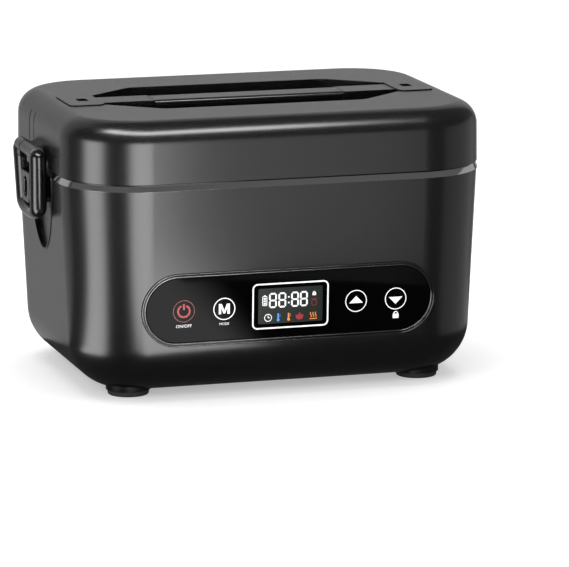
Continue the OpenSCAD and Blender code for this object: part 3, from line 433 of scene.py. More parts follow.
def make_tub():
    rings = [ring(HX, HY, CORNER_R, i, z) for i, z in tub_profile(0, 0)]
    rings += [ring(HX, HY, CORNER_R, TAPER * (SEAM_Z - BAND_LOW_Z), BAND_LOW_Z),
              ring(HX, HY, CORNER_R, BAND_SEAT + 0.25, BAND_LOW_Z),
              ring(HX, HY, CORNER_R, BAND_SEAT + 0.25, SEAM_Z),
              ring(HX, HY, CORNER_R, WALL, SEAM_Z),
              ring(HX, HY, CORNER_R, WALL, SHELF_Z)]
    open_hx, open_hy = WELL_HX + SHELF_OPEN, WELL_HY + SHELF_OPEN
    for z in (SHELF_Z, SHELF_Z - SHELF_T):
        rings.append(ring(open_hx, open_hy, WELL_R + SHELF_OPEN, 0, z))
    rings.append(ring(HX, HY, CORNER_R, WALL + 0.1, SHELF_Z - SHELF_T))
    rings += [ring(HX, HY, CORNER_R, i, z)
              for i, z in reversed(tub_profile(WALL, FLOOR, 8))]
    cuts = [
        prism(stadium_points(PANEL_W + 0.4, PANEL_H + 0.4), on_front, -PANEL_SEAT, 6),
        prism(rect_points(2 * HATCH_HX, 2 * HATCH_HY, HATCH_R), on_z,
              BOTTOM_Z - 5, BOTTOM_Z + HATCH_DEEP),
        prism(rect_points(INLET_W + 0.4, INLET_H + 0.4, 1), on_back, -10, 8),
    ]
    shell = link("tub_shell", mesh_of(loft(rings), "tub_shell"))
    pads = []
    for s in (-1, 1):
        # the wall behind each latch pocket
        pads.append(prism(pocket_points(2.0, SHELF_Z - 0.5),
                          lambda u, v, w, s=s: (s * w, u, v),
                          POCKET_X - 2.5, HX - WALL - 1.2))
        # and a fine lip around its mouth
        pads.append(prism(pocket_points(LIP_W), lambda u, v, w, s=s: (
            s * (w - TAPER * (SEAM_Z - v)), u, v), HX - 1, HX + LIP_PROUD))
    boolean(shell, pads, "UNION")
    for s in (-1, 1):
        # its floor comes up toward the tip
        cuts.append(prism(pocket_points(), lambda u, v, w, s=s: (
            s * max(w, POCKET_X + POCKET_LEAN * (POCKET_TOP_Z - v)), u, v), POCKET_X, HX + 6))
    boolean(shell, cuts)
    bosses = [prism(circle_points(sx * FOOT_X, sy * FOOT_Y, FOOT_R + 1, 48), on_z,
                    BOTTOM_Z, BOTTOM_Z + FLOOR + 0.5)
              for sx in (-1, 1) for sy in (-1, 1)]
    boolean(shell, bosses, "UNION")
    soften(shell, 0.5, 3)
    shell.data.materials.clear()
    shell.data.materials.append(M["tub"])
    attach(shell, "tub")
    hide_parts("base_shell")
    return shell


def make_band():
    low, high = BAND_LOW_Z + 0.05, SEAM_Z - 0.05
    p, back = BAND_PROUD, BAND_PROUD - BAND_LEAN
    prof = [(BAND_BACK, low), (-p, low), (-back, high - BAND_EDGE_H),
            (BAND_EDGE_W - back, high), (BAND_BACK, high)]
    rings = [ring(HX, HY, CORNER_R, i, z, 28) for i, z in prof]
    gaps = [prism(rect_points(20, 2 * POCKET_HALF + 5, 1, s * (HX + 2)), on_z,
                  low - 2, high + 2) for s in (-1, 1)]
    piece("seam_band", loft(rings, closed=True), M["band"], "tub",
          ["chrome_band"], cuts=gaps, width=0.05, segments=1, angle=50)


def make_feet():
    for name, sx, sy in (("foot_front_left", -1, -1), ("foot_front_right", 1, -1),
                         ("foot_rear_left", -1, 1), ("foot_rear_right", 1, 1)):
        rows = []
        prof = [(FOOT_R - 3.2, 0.7), (FOOT_R - 3.0, 0.0), (FOOT_R - 1.2, 0.0),
                (FOOT_R - 0.5, 0.15), (FOOT_R - 0.12, 0.55), (FOOT_R, 1.1),
                (FOOT_R, FOOT_H - 0.02)]
        for r, z in prof:
            rows.append([(sx * FOOT_X + x, sy * FOOT_Y + y, z)
                         for x, y in circle_points(0, 0, r, 48)])
        piece(name + "_pad", loft(rows), M["rubber"], "tub",
              [name], width=0.15, segments=2)


# ---- well and tray -----------------------------------------------------------

def make_well():
    r_step = 8
    out = []

    def wall_rings(g, low):
        rows = []
        for k in range(r_step + 1):
            a = math.radians(90 - 90 * k / r_step)
            rows.append((DRAFT + 8 * (1 - math.cos(a)) - g, low + 8 * (1 - math.sin(a))))
        return rows
    outer = wall_rings(WELL_T, WELL_FLOOR_Z - WELL_T)
    out += [ring(WELL_HX, WELL_HY, WELL_R, i, z) for i, z in outer]
    out.append(ring(WELL_HX, WELL_HY, WELL_R, -WELL_T, SHELF_Z))
    fx, fy, fr = HX - WALL - 0.4, HY - WALL - 0.4, CORNER_R - WALL - 0.4
    out.append(ring(fx, fy, fr, 0, SHELF_Z))
    out.append(ring(fx, fy, fr, 0, FLANGE_TOP_Z))
    out.append(ring(WELL_HX, WELL_HY, WELL_R, 0, FLANGE_TOP_Z))
    inner = wall_rings(0, WELL_FLOOR_Z)
    out += [ring(WELL_HX, WELL_HY, WELL_R, i, z) for i, z in reversed(inner)]
    piece("well", loft(out), M["well"], "tub", ["well_liner"],
          width=0.4, segments=2)


def make_tray():
    hx, hy, r = WELL_HX - TRAY_GAP, WELL_HY - TRAY_GAP, WELL_R - TRAY_GAP
    step_z = TRAY_HIGH_Z - 14

    def prof(g):
        rr = TRAY_BOTTOM_R - g
        rows = []
        for k in range(11):
            a = math.radians(90 - 9 * k)
            rows.append((DRAFT + 2 + g + rr * (1 - math.cos(a)),
                         TRAY_LOW_Z + g + rr * (1 - math.sin(a))))
        rows += [(2.6 + g, step_z - 1.2), (2.1 + g, step_z - 0.8), (1.0 + g, step_z + 0.5),
                 (0.6 + g, step_z + 0.9)]
        return rows
    rings = [ring(hx, hy, r, i, z) for i, z in prof(0)]
    mid, half_w, half_h = -TRAY_RIM_W / 2, TRAY_RIM_W / 2, TRAY_RIM_H / 2
    zc = FLANGE_TOP_Z + half_h
    rings.append(ring(hx, hy, r, 0, FLANGE_TOP_Z + 0.05))
    for k in range(1, 12):
        a = math.radians(-90 + 180 * k / 12)
        rings.append(ring(hx, hy, r, mid - half_w * math.cos(a),
                          zc + half_h * math.sin(a)))
    rings.append(ring(hx, hy, r, mid + 0.4, TRAY_HIGH_Z - 0.02))
    rings.append(ring(hx, hy, r, 0.2, TRAY_HIGH_Z - 0.5))
    rings.append(ring(hx, hy, r, TRAY_T, TRAY_HIGH_Z - 1.6))
    rings += [ring(hx, hy, r, i, z) for i, z in reversed(prof(TRAY_T))]
    piece("steel_tray", loft(rings), M["steel"], "tray", ["food_tray"],
          width=0.3, segments=2, angle=40)


# ---- lid ---------------------------------------------------------------------

def lid_profile(g, steps=ARC):
    zc = LID_TOP_Z - LID_EDGE_R
    i0 = LID_TAPER * (zc - LID_LOW_Z)
    out = [(g, LID_LOW_Z)]
    for k in range(steps + 1):
        a = math.radians(90 * k / steps)
        out.append((i0 + g + (LID_EDGE_R - g) * (1 - math.cos(a)),
                    zc + (LID_EDGE_R - g) * math.sin(a)))
    return out


def recess_points(g=0.0):
    dx, dy = RECESS_TIP - RECESS_FLAT, RECESS_HALF - RECESS_END
    d = math.hypot(dx, dy)
    nx, ny = dy / d, dx / d
    x1, y2 = RECESS_FLAT + g * (1 - ny) / nx, RECESS_END + g * (1 - nx) / ny
    xo, yo = RECESS_TIP + g, RECESS_HALF + g
    pts = [(x1, yo), (-x1, yo), (-xo, y2), (-xo, -y2), (-x1, -yo), (x1, -yo),
           (xo, -y2), (xo, y2)]
    return rounded_points(pts, [10, 10, 4, 4, 10, 10, 4, 4], 10)


def make_lid():
    rings = [ring(HX, HY, CORNER_R, LID_WALL, COVER_HIGH_Z),
             ring(HX, HY, CORNER_R, LID_WALL, LID_LOW_Z)]
    rings += [ring(HX, HY, CORNER_R, i, z) for i, z in lid_profile(0)]
    cuts = [prism(recess_points(), on_z, LID_TOP_Z - RECESS_DEPTH, LID_TOP_Z + 5)]
    for s in (-1, 1):
        cx = s * (RECESS_TIP + PLATE_L / 2 - 1)
        cuts.append(prism(rect_points(PLATE_L + 2.8, PLATE_W + 0.8, 4, cx), on_z,
                          PLATE_POCKET_Z, LID_TOP_Z + 5))
        # a fine line in the lid's side, in the shape of an arch
        r = GROOVE_R + GROOVE_W
        groove = ([(GROOVE_Y + r, LID_LOW_Z - 1)]
                  + arc_points(GROOVE_Y, GROOVE_TOP_Z, r, 0, 180, 16)
                  + [(GROOVE_Y - r, LID_LOW_Z - 1), (GROOVE_Y - GROOVE_R, LID_LOW_Z - 1)]
                  + arc_points(GROOVE_Y, GROOVE_TOP_Z, GROOVE_R, 180, 0, 16)
                  + [(GROOVE_Y + GROOVE_R, LID_LOW_Z - 1)])
        cuts.append(prism(groove, lambda u, v, w, s=s: (s * w, u, v),
                          HX - 1.7, HX + 4))
    lid = link("lid_top", mesh_of(loft(rings), "lid_top"))
    boolean(lid, cuts)
    lugs = []
    for s in (-1, 1):
        # hinge lug of each latch
        r, z = BARREL_R - 0.2, AXIS_Z - BARREL_DROP
        neck = r - 0.4
        pts = (arc_points(AXIS_X, z, r, -120, 120, 24)
               + [(AXIS_X - 2.3, z + neck), (HX - 2, z + neck),
                  (HX - 2, z - neck), (AXIS_X - 2.3, z - neck)])
        lugs.append(prism(pts, lambda u, v, w, s=s: (s * u, w, v), -LUG_HALF, LUG_HALF))
    boolean(lid, lugs, "UNION")
    soften(lid, 0.7, 4)
    lid.data.materials.clear()
    lid.data.materials.append(M["lid"])
    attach(lid, "lid")
    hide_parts("lid_shell")


# ---- handle ------------------------------------------------------------------

def make_handle():
    low = LID_TOP_Z - ARM_T
    spine_low = LID_TOP_Z - GRIP_T - SPINE_T
    body = prism(rect_points(2 * GRIP_HALF + 8, GRIP_W - 11, 2), on_z,
                 spine_low, spine_low + SPINE_T)
    adds = []
    for s in (-1, 1):
        x0, x1 = GRIP_HALF, RECESS_TIP - 0.7
        adds.append(prism(rect_points(x1 - x0 + 3, ARM_W, 0.6, s * (x0 + x1 + 1) / 2),
                          on_z, low, LID_TOP_Z))
        adds.append(prism(rect_points(4, GRIP_W - 2, 0.5, s * (GRIP_HALF + 2)), on_z,
                          spine_low + 0.2, LID_TOP_Z - 0.3))
        cx = s * (HANDLE_END - PLATE_L / 2 - PLATE_LAP / 2)
        adds.append(prism(rect_points(PLATE_L + PLATE_LAP, PLATE_W, 3.6, cx), on_z,
                          LID_TOP_Z + PLATE_PROUD - PLATE_T, LID_TOP_Z + PLATE_PROUD))
    cuts = [prism(rect_points(6, 9, 1.2, s * (RECESS_TIP + 7)), on_z,
                  LID_TOP_Z - 5, LID_TOP_Z + 4) for s in (-1, 1)]
    piece("handle_frame", body, M["handle"], "handle",
          ["handle_bar"], adds=adds, cuts=cuts, width=0.7, segments=3)
    # its sides are undercut, for the fingers
    low = GRIP_W / 2 - 4
    pts = rounded_points([(-low, LID_TOP_Z - GRIP_T), (low, LID_TOP_Z - GRIP_T),
                          (GRIP_W / 2, LID_TOP_Z), (-GRIP_W / 2, LID_TOP_Z)],
                         [0.5, 0.5, 2.0, 2.0], 8)
    piece("handle_grip_cover", prism(pts, on_x, -GRIP_HALF, GRIP_HALF), M["grip"],
          "handle", ["handle_grip"], width=0.5, segments=3)


# ---- latches -----------------------------------------------------------------

def sweep(path, radii, at_x):
    """A round bar along a path of (y, z) points, with domed ends."""
    rings = []
    count = len(path)
    for k, (y, z) in enumerate(path):
        a, b = path[max(k - 1, 0)], path[min(k + 1, count - 1)]
        t = (Vector(b) - Vector(a)).normalized()
        n = Vector((t.y, -t.x))
        flat, deep = radii[k]
        row = []
        for i in range(28):
            c = math.radians(360 * i / 28)
            row.append((at_x(z) + deep * math.sin(c), y + n.x * flat * math.cos(c),
                        z + n.y * flat * math.cos(c)))
        rings.append(row)
    return rings


def latch_path():
    """The middle line and radii of the latch's bar: two legs and a round foot."""
    path, radii = [], []
    for k in range(6):
        # the dome over the leg
        q = math.radians(90 - 15 * k)
        path.append((-LEG_TOP_Y, LEG_TOP_Z + LEG_R * math.sin(q)))
        radii.append((max(LEG_R * math.cos(q), 0.3), max(LEG_DEEP * math.cos(q), 0.3)))
    for k in range(7):
        t = k / 6
        path.append((-LEG_TOP_Y + (LEG_TOP_Y - LEG_LOW_Y) * t,
                     LEG_TOP_Z + (LEG_LOW_Z - LEG_TOP_Z) * t))
        radii.append((LEG_R - 0.3 * t, LEG_DEEP))
    for k in range(1, 12):
        q = math.radians(90 * k / 12)
        path.append((-LEG_LOW_Y * math.cos(q), LEG_LOW_Z - FOOT_DROP * math.sin(q)))
        radii.append((LEG_R - 0.3 - 0.6 * math.sin(q), LEG_DEEP))
    half = list(zip(path, radii))
    other = [((-y, z), r) for (y, z), r in reversed(half)]
    mid = [((0.0, LEG_LOW_Z - FOOT_DROP), (LEG_R - 0.9, LEG_DEEP))]
    return zip(*(half + mid + other))


def make_latch(s, side):
    def place_x(u, v, w):
        return (s * w, u, v)

    def place_y(u, v, w):
        return (s * u, w, v)
    path, radii = latch_path()
    rings = sweep(path, radii, lambda z: s * (LEG_X - LEG_LEAN * (LEG_TOP_Z - z)))
    ob = link("latch_loop_" + side, mesh_of(loft(rings), "loop"))
    joins = []
    for end in (-1, 1):
        y0, y1 = end * (LUG_HALF + 0.3), end * LEG_TOP_Y
        joins.append(prism(circle_points(AXIS_X, AXIS_Z - BARREL_DROP, BARREL_R, 40),
                           place_y, min(y0, y1), max(y0, y1)))
        # the leg's shoulder
        joins.append(prism(rounded_points([(LEG_X - 3.6, AXIS_Z - 8), (LEG_X + 3.6, AXIS_Z - 8),
                                           (LEG_X + 3.6, AXIS_Z + 1), (LEG_X - 3.6, AXIS_Z + 1)],
                                          [2] * 4, 5), place_y,
                           min(y0, y1) + 0.2, max(y0, y1) - 0.2))
    boolean(ob, joins, "UNION")
    soften(ob, 0.7, 3, 40)
    ob.data.materials.clear()
    ob.data.materials.append(M["latch"])
    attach(ob, "latch_" + side)
    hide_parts("latch_" + side)

    high, low = POCKET_TOP_Z, POCKET_TOP_Z - CATCH_H
    pts = rounded_points([(-CATCH_HALF, high), (1.5 - CATCH_HALF, low),
                          (CATCH_HALF - 1.5, low), (CATCH_HALF, high)], [1.5, 4, 4, 1.5], 8)
    oval = [(v, (low + high) / 2 + u) for u, v in stadium_points(11.5, 7.5, 12)]
    catch_x = AXIS_X + 2.4
    piece("catch_" + side, prism(pts, place_x, POCKET_X, catch_x), M["latch"], "tub",
          ["latch_catch_" + side],
          cuts=[prism(oval, place_x, catch_x - 7, catch_x + 2)], width=0.8, segments=3)


# ---- control panel -----------------------------------------------------------

def flat_mark(name, outlines, mat, lift=0.03, thick=0.05):
    """Thin printed marks on the panel's glass; each outline is a list of points."""
    me = bpy.data.meshes.new(name)
    bm = bmesh.new()
    for pts in outlines:
        low = [bm.verts.new(Vector(on_front(u, v, LENS_PROUD + lift)) * MM) for u, v in pts]
        high = [bm.verts.new(Vector(on_front(u, v, LENS_PROUD + lift + thick)) * MM)
                for u, v in pts]
        n = len(pts)
        for k in range(n):
            bm.faces.new((low[k], low[(k + 1) % n], high[(k + 1) % n], high[k]))
        bm.faces.new(high)
    bm.to_mesh(me)
    bm.free()
    return link(name, me, mat, "tub")


def ring_strips(cx, cy, r, w, a0=0, a1=360, n=48):
    """A round band as short four-cornered strips."""
    out = []
    for k in range(n):
        b0, b1 = (math.radians(a0 + (a1 - a0) * (k + d) / n) for d in (0, 1))
        out.append([(cx + q * math.cos(b), cy + q * math.sin(b))
                    for q, b in ((r - w / 2, b0), (r + w / 2, b0),
                                 (r + w / 2, b1), (r - w / 2, b1))])
    return out


def outline_strips(pts, w):
    """A closed line of width w along an outline."""
    n = len(pts)
    normals = []
    for k in range(n):
        a, b = Vector(pts[k - 1]), Vector(pts[(k + 1) % n])
        t = (b - a).normalized()
        normals.append(Vector((t.y, -t.x)))
    out = []
    for k in range(n):
        p, q = Vector(pts[k]), Vector(pts[(k + 1) % n])
        m, o = normals[k] * (w / 2), normals[(k + 1) % n] * (w / 2)
        out.append([tuple(p - m), tuple(p + m), tuple(q + o), tuple(q - o)])
    return out


def bar(x0, y0, x1, y1, w):
    """A straight stroke with square ends."""
    d = (Vector((x1, y1)) - Vector((x0, y0))).normalized() * (w / 2)
    n = Vector((-d.y, d.x))
    a, b = Vector((x0, y0)), Vector((x1, y1))
    return [tuple(a - n), tuple(b - n), tuple(b + n), tuple(a + n)]


def digit(x, y, w, h, t):
    """All seven strokes of an eight."""
    g = 0.16
    k = t / 2
    out = []
    for v in (0, 0.5, 1):
        yy = y + k + v * (h - t)
        out.append([(x + k + g, yy), (x + t + g, yy - k), (x + w - t - g, yy - k),
                    (x + w - k - g, yy), (x + w - t - g, yy + k), (x + t + g, yy + k)])
    for u in (0, 1):
        xx = x + k + u * (w - t)
        for v in (0, 1):
            y0 = y + k + v * (h - t) / 2 + g
            y1 = y0 + (h - t) / 2 - 2 * g
            out.append([(xx, y0), (xx + k, y0 + k), (xx + k, y1 - k),
                        (xx, y1), (xx - k, y1 - k), (xx - k, y0 + k)])
    return out


def padlock(cx, cy, s):
    """A closed padlock about 2 s high."""
    body = rect_points(1.5 * s, 1.1 * s, 0.15 * s, cx, cy - 0.4 * s, 3)
    shackle = ring_strips(cx, cy + 0.2 * s, 0.48 * s, 0.22 * s, 0, 180, 14)
    legs = [bar(cx + q * 0.48 * s, cy + 0.1 * s, cx + q * 0.48 * s, cy + 0.22 * s, 0.22 * s)
            for q in (-1, 1)]
    return [body] + shackle + legs


def words(name, text, cx, cy, size, mat):
    """Generic lettering, as flat meshes on the glass."""
    cu = bpy.data.curves.new(name, "FONT")
    cu.body = text
    cu.size = size
    cu.align_x, cu.align_y = "CENTER", "CENTER"
    cu.resolution_u = 3
    tmp = bpy.data.objects.new(name + "_tmp", cu)
    bpy.context.scene.collection.objects.link(tmp)
    bpy.context.view_layer.update()
    dg = bpy.context.evaluated_depsgraph_get()
    me = bpy.data.meshes.new_from_object(tmp.evaluated_get(dg))
    bpy.data.objects.remove(tmp)
    for v in me.vertices:
        v.co = Vector(on_front(cx + v.co.x, cy + v.co.y, LENS_PROUD + 0.08)) * MM
    return link(name, me, mat, "tub")


# places on the panel: the keys, their captions and the display
KEY_V, KEY_R = -0.4, 6.0
POWER_U, MODE_U, UP_U, DOWN_U = -60.3, -37.3, 38.5, 61.5
CAPTION_V = KEY_V - 8.5
DISPLAY_U, DISPLAY_V = 0.6, -0.4


def make_panel():
    def rim_rings(prof):
        return [[on_front(u, v, w) for u, v in stadium_points(PANEL_W - 2 * i, PANEL_H - 2 * i)]
                for i, w in prof]
    top = RIM_PROUD - 0.25
    piece("panel_rim_body", loft(rim_rings([
        (0, -PANEL_SEAT), (0, top - 0.2), (0.2, top), (RIM_W - 0.2, top),
        (RIM_W, LENS_PROUD - 0.1), (RIM_W, -PANEL_SEAT)]), closed=True),
        M["gloss"], "tub", ["panel_rim"], width=0.0)
    for name, i0, i1 in (("panel_rim_outer_line", 0.15, 0.5),
                         ("panel_rim_inner_line", 1.45, 1.95)):
        mid = (i0 + i1) / 2
        piece(name, loft(rim_rings([
            (i0, top - 0.1), (i0 + 0.05, RIM_PROUD - 0.08), (mid, RIM_PROUD),
            (i1 - 0.05, RIM_PROUD - 0.08), (i1, top - 0.1)]), closed=True),
            M["rim"], "tub", width=0.0)
    lens = stadium_points(PANEL_W - 2 * RIM_W - 0.3, PANEL_H - 2 * RIM_W - 0.3)
    piece("panel_lens", prism(lens, on_front, -PANEL_SEAT, LENS_PROUD), M["glass"], "tub",
          ["panel_glass"], width=0.25, segments=3)

    white, red = M["white_ink"], M["red_ink"]
    x = POWER_U
    flat_mark("power_symbol", ring_strips(x, KEY_V, 3.3, 1.1, 115, 425, 40)
              + [bar(x, KEY_V + 0.7, x, KEY_V + 4.1, 1.1)], red)
    flat_mark("power_ring", ring_strips(x, KEY_V, KEY_R, 0.4, n=64), M["dark_red_ink"])
    x = MODE_U
    flat_mark("mode_ring", ring_strips(x, KEY_V, KEY_R, 0.55, n=64), white)
    half_m = [(0, -0.9), (1.45, 2.9), (3.15, 2.9), (3.15, -2.9), (1.75, -2.9),
              (1.75, 0.7), (0.5, -2.6)]
    letter = [(x + u, KEY_V + v) for u, v in half_m]
    letter += [(x - u, KEY_V + v) for u, v in reversed(half_m[1:])]
    flat_mark("mode_letter", [letter], white)
    words("power_caption", "ON/OFF", POWER_U, CAPTION_V, 2.5, white)
    words("mode_caption", "MODE", MODE_U, CAPTION_V, 2.0, white)
    x = UP_U
    flat_mark("up_ring", ring_strips(x, KEY_V, KEY_R, 0.5, n=64), white)
    flat_mark("up_arrow", [[(x - 4, KEY_V - 1.2), (x + 4, KEY_V - 1.2),
                            (x, KEY_V + 2.8)]], white)
    x = DOWN_U
    flat_mark("down_ring", ring_strips(x, KEY_V, KEY_R, 0.5, n=64), white)
    flat_mark("down_arrow", [[(x - 4, KEY_V + 1.0), (x, KEY_V - 3.0),
                              (x + 4, KEY_V + 1.0)]], white)
    flat_mark("lock_symbol", padlock(x + 0.2, KEY_V - 9.0, 2.3), white)

    cx, cy = DISPLAY_U, DISPLAY_V
    flat_mark("display_frame", outline_strips(rect_points(43, 25, 2.6, cx, cy), 0.85), white)
    make_display(cx, cy)


def make_display(cx, cy):
    m = Mat("display_window", (0.055, 0.062, 0.055), 0.35)
    # the window's colour fades from paler on the left to darker on the right: a painted
    # reflection across it
    grad = m.nt.nodes.new("ShaderNodeSeparateXYZ")
    m.nt.links.new(m.coords, grad.inputs["Vector"])
    painted_reflection_fade = m.span(grad.outputs["X"], 0.0, 1.0, (cx - 20) * MM, (cx + 20) * MM)
    mix = m.nt.nodes.new("ShaderNodeMix")
    mix.data_type = "RGBA"
    mix.inputs["A"].default_value = (0.05, 0.055, 0.049, 1)
    mix.inputs["B"].default_value = (0.025, 0.032, 0.027, 1)
    m.bsdf.inputs["Specular IOR Level"].default_value = 0.06
    m.nt.links.new(painted_reflection_fade, mix.inputs["Factor"])
    m.nt.links.new(mix.outputs["Result"], m.bsdf.inputs["Base Color"])
    m.bump(m.noise(600, 2), 0.02, 0.0001)
    flat_mark("display_area", [rect_points(37, 20, 0.8, cx, cy)], m.mat, 0.0, 0.02)
    white = M["white_ink"]
    eights = []
    for x in (-11.8, -6.4, 0.9, 6.0):
        eights += digit(x, -1.6 + cy + 0.4, 4.5, 8.6, 0.95)
    flat_mark("display_digits", eights, white)
    flat_mark("display_colon", [rect_points(0.9, 0.9, 0.2, -0.4, cy + 1.4, 2),
                                rect_points(0.9, 0.9, 0.2, -0.4, cy + 4.6, 2)], white)
    bx, by = -14.2, cy + 3.0
    marks = outline_strips(rect_points(2.4, 5.0, 0.3, bx, by, 2), 0.4)
    marks += [rect_points(1.1, 0.6, 0.1, bx, by + 2.9, 2)]
    marks += [rect_points(1.4, 0.9, 0.05, bx, by - 1.5 + 1.4 * k, 1) for k in range(3)]
    flat_mark("battery_symbol", marks, white)
    flat_mark("display_lock", padlock(14.2, cy + 6.0, 1.35), white)
    flat_mark("display_cup", outline_strips(rect_points(2.6, 3.0, 0.5, 14.2, cy + 0.6, 2), 0.6)
              + [bar(12.6, cy + 2.8, 15.8, cy + 2.8, 0.5)], M["dark_red_ink"])
    x, y = -12.2, cy - 6.6
    flat_mark("clock_symbol", ring_strips(x, y, 2.0, 0.42, n=32)
              + [bar(x, y, x, y + 1.3, 0.4), bar(x - 0.1, y, x + 1.0, y, 0.4)], white)

    def thermometer(x):
        return [rect_points(0.9, 3.4, 0.4, x, y + 0.5, 3), circle_points(x, y - 1.5, 0.85, 16),
                bar(x + 0.8, y + 1.4, x + 1.3, y + 1.4, 0.3),
                bar(x + 0.8, y + 0.5, x + 1.3, y + 0.5, 0.3)]
    flat_mark("warm_symbol", thermometer(-6.4), M["blue_ink"])
    flat_mark("hot_symbol", thermometer(-0.4), M["orange_ink"])
    pot = rounded_points([(3.6, y + 0.8), (4.2, y - 1.9), (7.6, y - 1.9), (8.2, y + 0.8)],
                         [0.2, 1.2, 1.2, 0.2], 4)
    flat_mark("pot_symbol", [pot, rect_points(1.2, 0.8, 0.3, 5.9, y + 1.4, 3)], M["red_ink"])
    waves = []
    for k in range(3):
        pts = [(12.4 + 1.4 * k + 0.35 * math.sin(t * 1.3), y - 1.0 + 0.55 * t)
               for t in range(6)]
        waves += [bar(*pts[i], *pts[i + 1], 0.45) for i in range(5)]
    waves.append(bar(11.6, y - 1.9, 16.0, y - 1.9, 0.5))
    flat_mark("heat_symbol", waves, M["orange_ink"])


# ---- inlet and carried-over nodes ----------------------------------------------

def make_inlet():
    body = prism(rect_points(INLET_W + 6, INLET_H + 6, 3), on_back, 0.02, 1.5)
    core = prism(rect_points(INLET_W, INLET_H, 0.6), on_back, -16, 0.5)
    hole = prism(stadium_points(INLET_W - 6, INLET_H - 5), on_back, -14.5, 6)
    piece("inlet_socket", body, M["part"], "tub", ["power_inlet"],
          adds=[core], cuts=[hole], width=0.4, segments=3)


def finish_cad_nodes():
    finishes = {
        "under": ["bottom_cover"],
        "screw": ["base_screws", "liner_screws", "heater_clamp", "temperature_sensor",
                  "board_screws", "lid_screws", "handle_guide_pins", "latch_pin_left",
                  "latch_pin_right"],
        "well": ["heating_plate"],
        "ceramic": ["ptc_heater", "thermal_fuse"],
        "part": ["thermostat", "battery_holder", "display_module"],
        "felt": ["insulation_pad"],
        "cell": ["battery_cells"],
        "board": ["power_board", "display_board"],
        "brass": ["touch_springs", "inlet_pins"],
        "cover": ["lid_inner_cover"],
        "seal": ["lid_gasket"],
    }
    for key, names in finishes.items():
        for name in names:
            ob = nodes[name]
            ob.data.materials.clear()
            ob.data.materials.append(M[key])


# ---- floor, light and camera -------------------------------------------------

FLOOR_GLOW = 0.4


def make_stage():
    me = bpy.data.meshes.new("floor")
    bm = bmesh.new()
    half, back, rise, r = 4.0, 3.0, 3.5, 1.0
    prof = [(-3.5, 0.0), (back - r, 0.0)]
    prof += [(back - r + r * math.sin(t * math.pi / 24),
              r - r * math.cos(t * math.pi / 24)) for t in range(1, 13)]
    prof.append((back, rise))
    rows = [[bm.verts.new((x, y, z)) for y, z in prof] for x in (-half, half)]
    for k in range(len(prof) - 1):
        bm.faces.new((rows[0][k], rows[1][k], rows[1][k + 1], rows[0][k + 1]))
    bm.to_mesh(me)
    bm.free()
    for p in me.polygons:
        p.use_smooth = True
    mat = Mat("floor_paper", (0.8, 0.8, 0.8), 0.8)
    mat.vary_color(mat.noise(3, 2), 0.008)
    mat.bsdf.inputs["Specular IOR Level"].default_value = 0.0
    mat.bsdf.inputs["Emission Color"].default_value = (1, 1, 1, 1)
    path = mat.nt.nodes.new("ShaderNodeLightPath")
    seen = path.outputs["Is Camera Ray"]
    for other in ("Is Glossy Ray", "Is Transmission Ray"):
        most = mat.nt.nodes.new("ShaderNodeMath")
        most.operation = "MAXIMUM"
        mat.nt.links.new(seen, most.inputs[0])
        mat.nt.links.new(path.outputs[other], most.inputs[1])
        seen = most.outputs["Value"]
    glow = mat.nt.nodes.new("ShaderNodeMath")
    glow.operation = "MULTIPLY"
    glow.inputs[1].default_value = FLOOR_GLOW
    mat.nt.links.new(seen, glow.inputs[0])
    mat.nt.links.new(glow.outputs["Value"], mat.bsdf.inputs["Emission Strength"])
    floor = link("floor", me, mat.mat)


# the light tent: its lining and floor, and the radius and height of its cards
TENT_R, TENT_H, TENT_EAVES = 0.40, 0.62, 0.30
TENT_LIGHT, TENT_FLOOR_LIGHT = 0.15, 0.06
CARD_R, CARD_TOP, CARD_FOOT_Z, CARD_EDGE = 0.37, 0.19, 0.0014, 9.0
TENT_FLOOR_Z = 0.0006
# its soft cards: the azimuth from and to in degrees, where 0 is the front and 90
# the left side, the radius that the foot reaches in to, and the light
SOFT_CARDS = (
    ("key", -6, 34, 0.15, 8.0),
    ("front_fill", -32, 0, 0.30, 1.2),
    ("side", 54, 86, 0.17, 7.0),
    ("right", -115, -45, 0.19, 0.5),
)
BACK_FROM, BACK_TO, BACK_FOOT, BACK_LIGHT = 106, 246, 0.13, 0.5
BACK_UP = (6, 42)
# the strip lamp in the roof over the front: azimuths, degrees up, radius and light
STRIP_FROM, STRIP_TO, STRIP_UP = -34, 80, (27, 46)
STRIP_R, STRIP_LIGHT = CARD_R - 0.004, 18.0


def soft_light(light, az0, az1):
    """The light of a card by place: even, and falling off smoothly at both ends."""
    def at(p):
        a = math.degrees(math.atan2(-p[0], -p[1]))
        a += 360 if a < az0 - 1 else 0
        t = min(max(min(a - az0, az1 - a) / CARD_EDGE, 0), 1)
        return light * t * t * (3 - 2 * t)
    return at


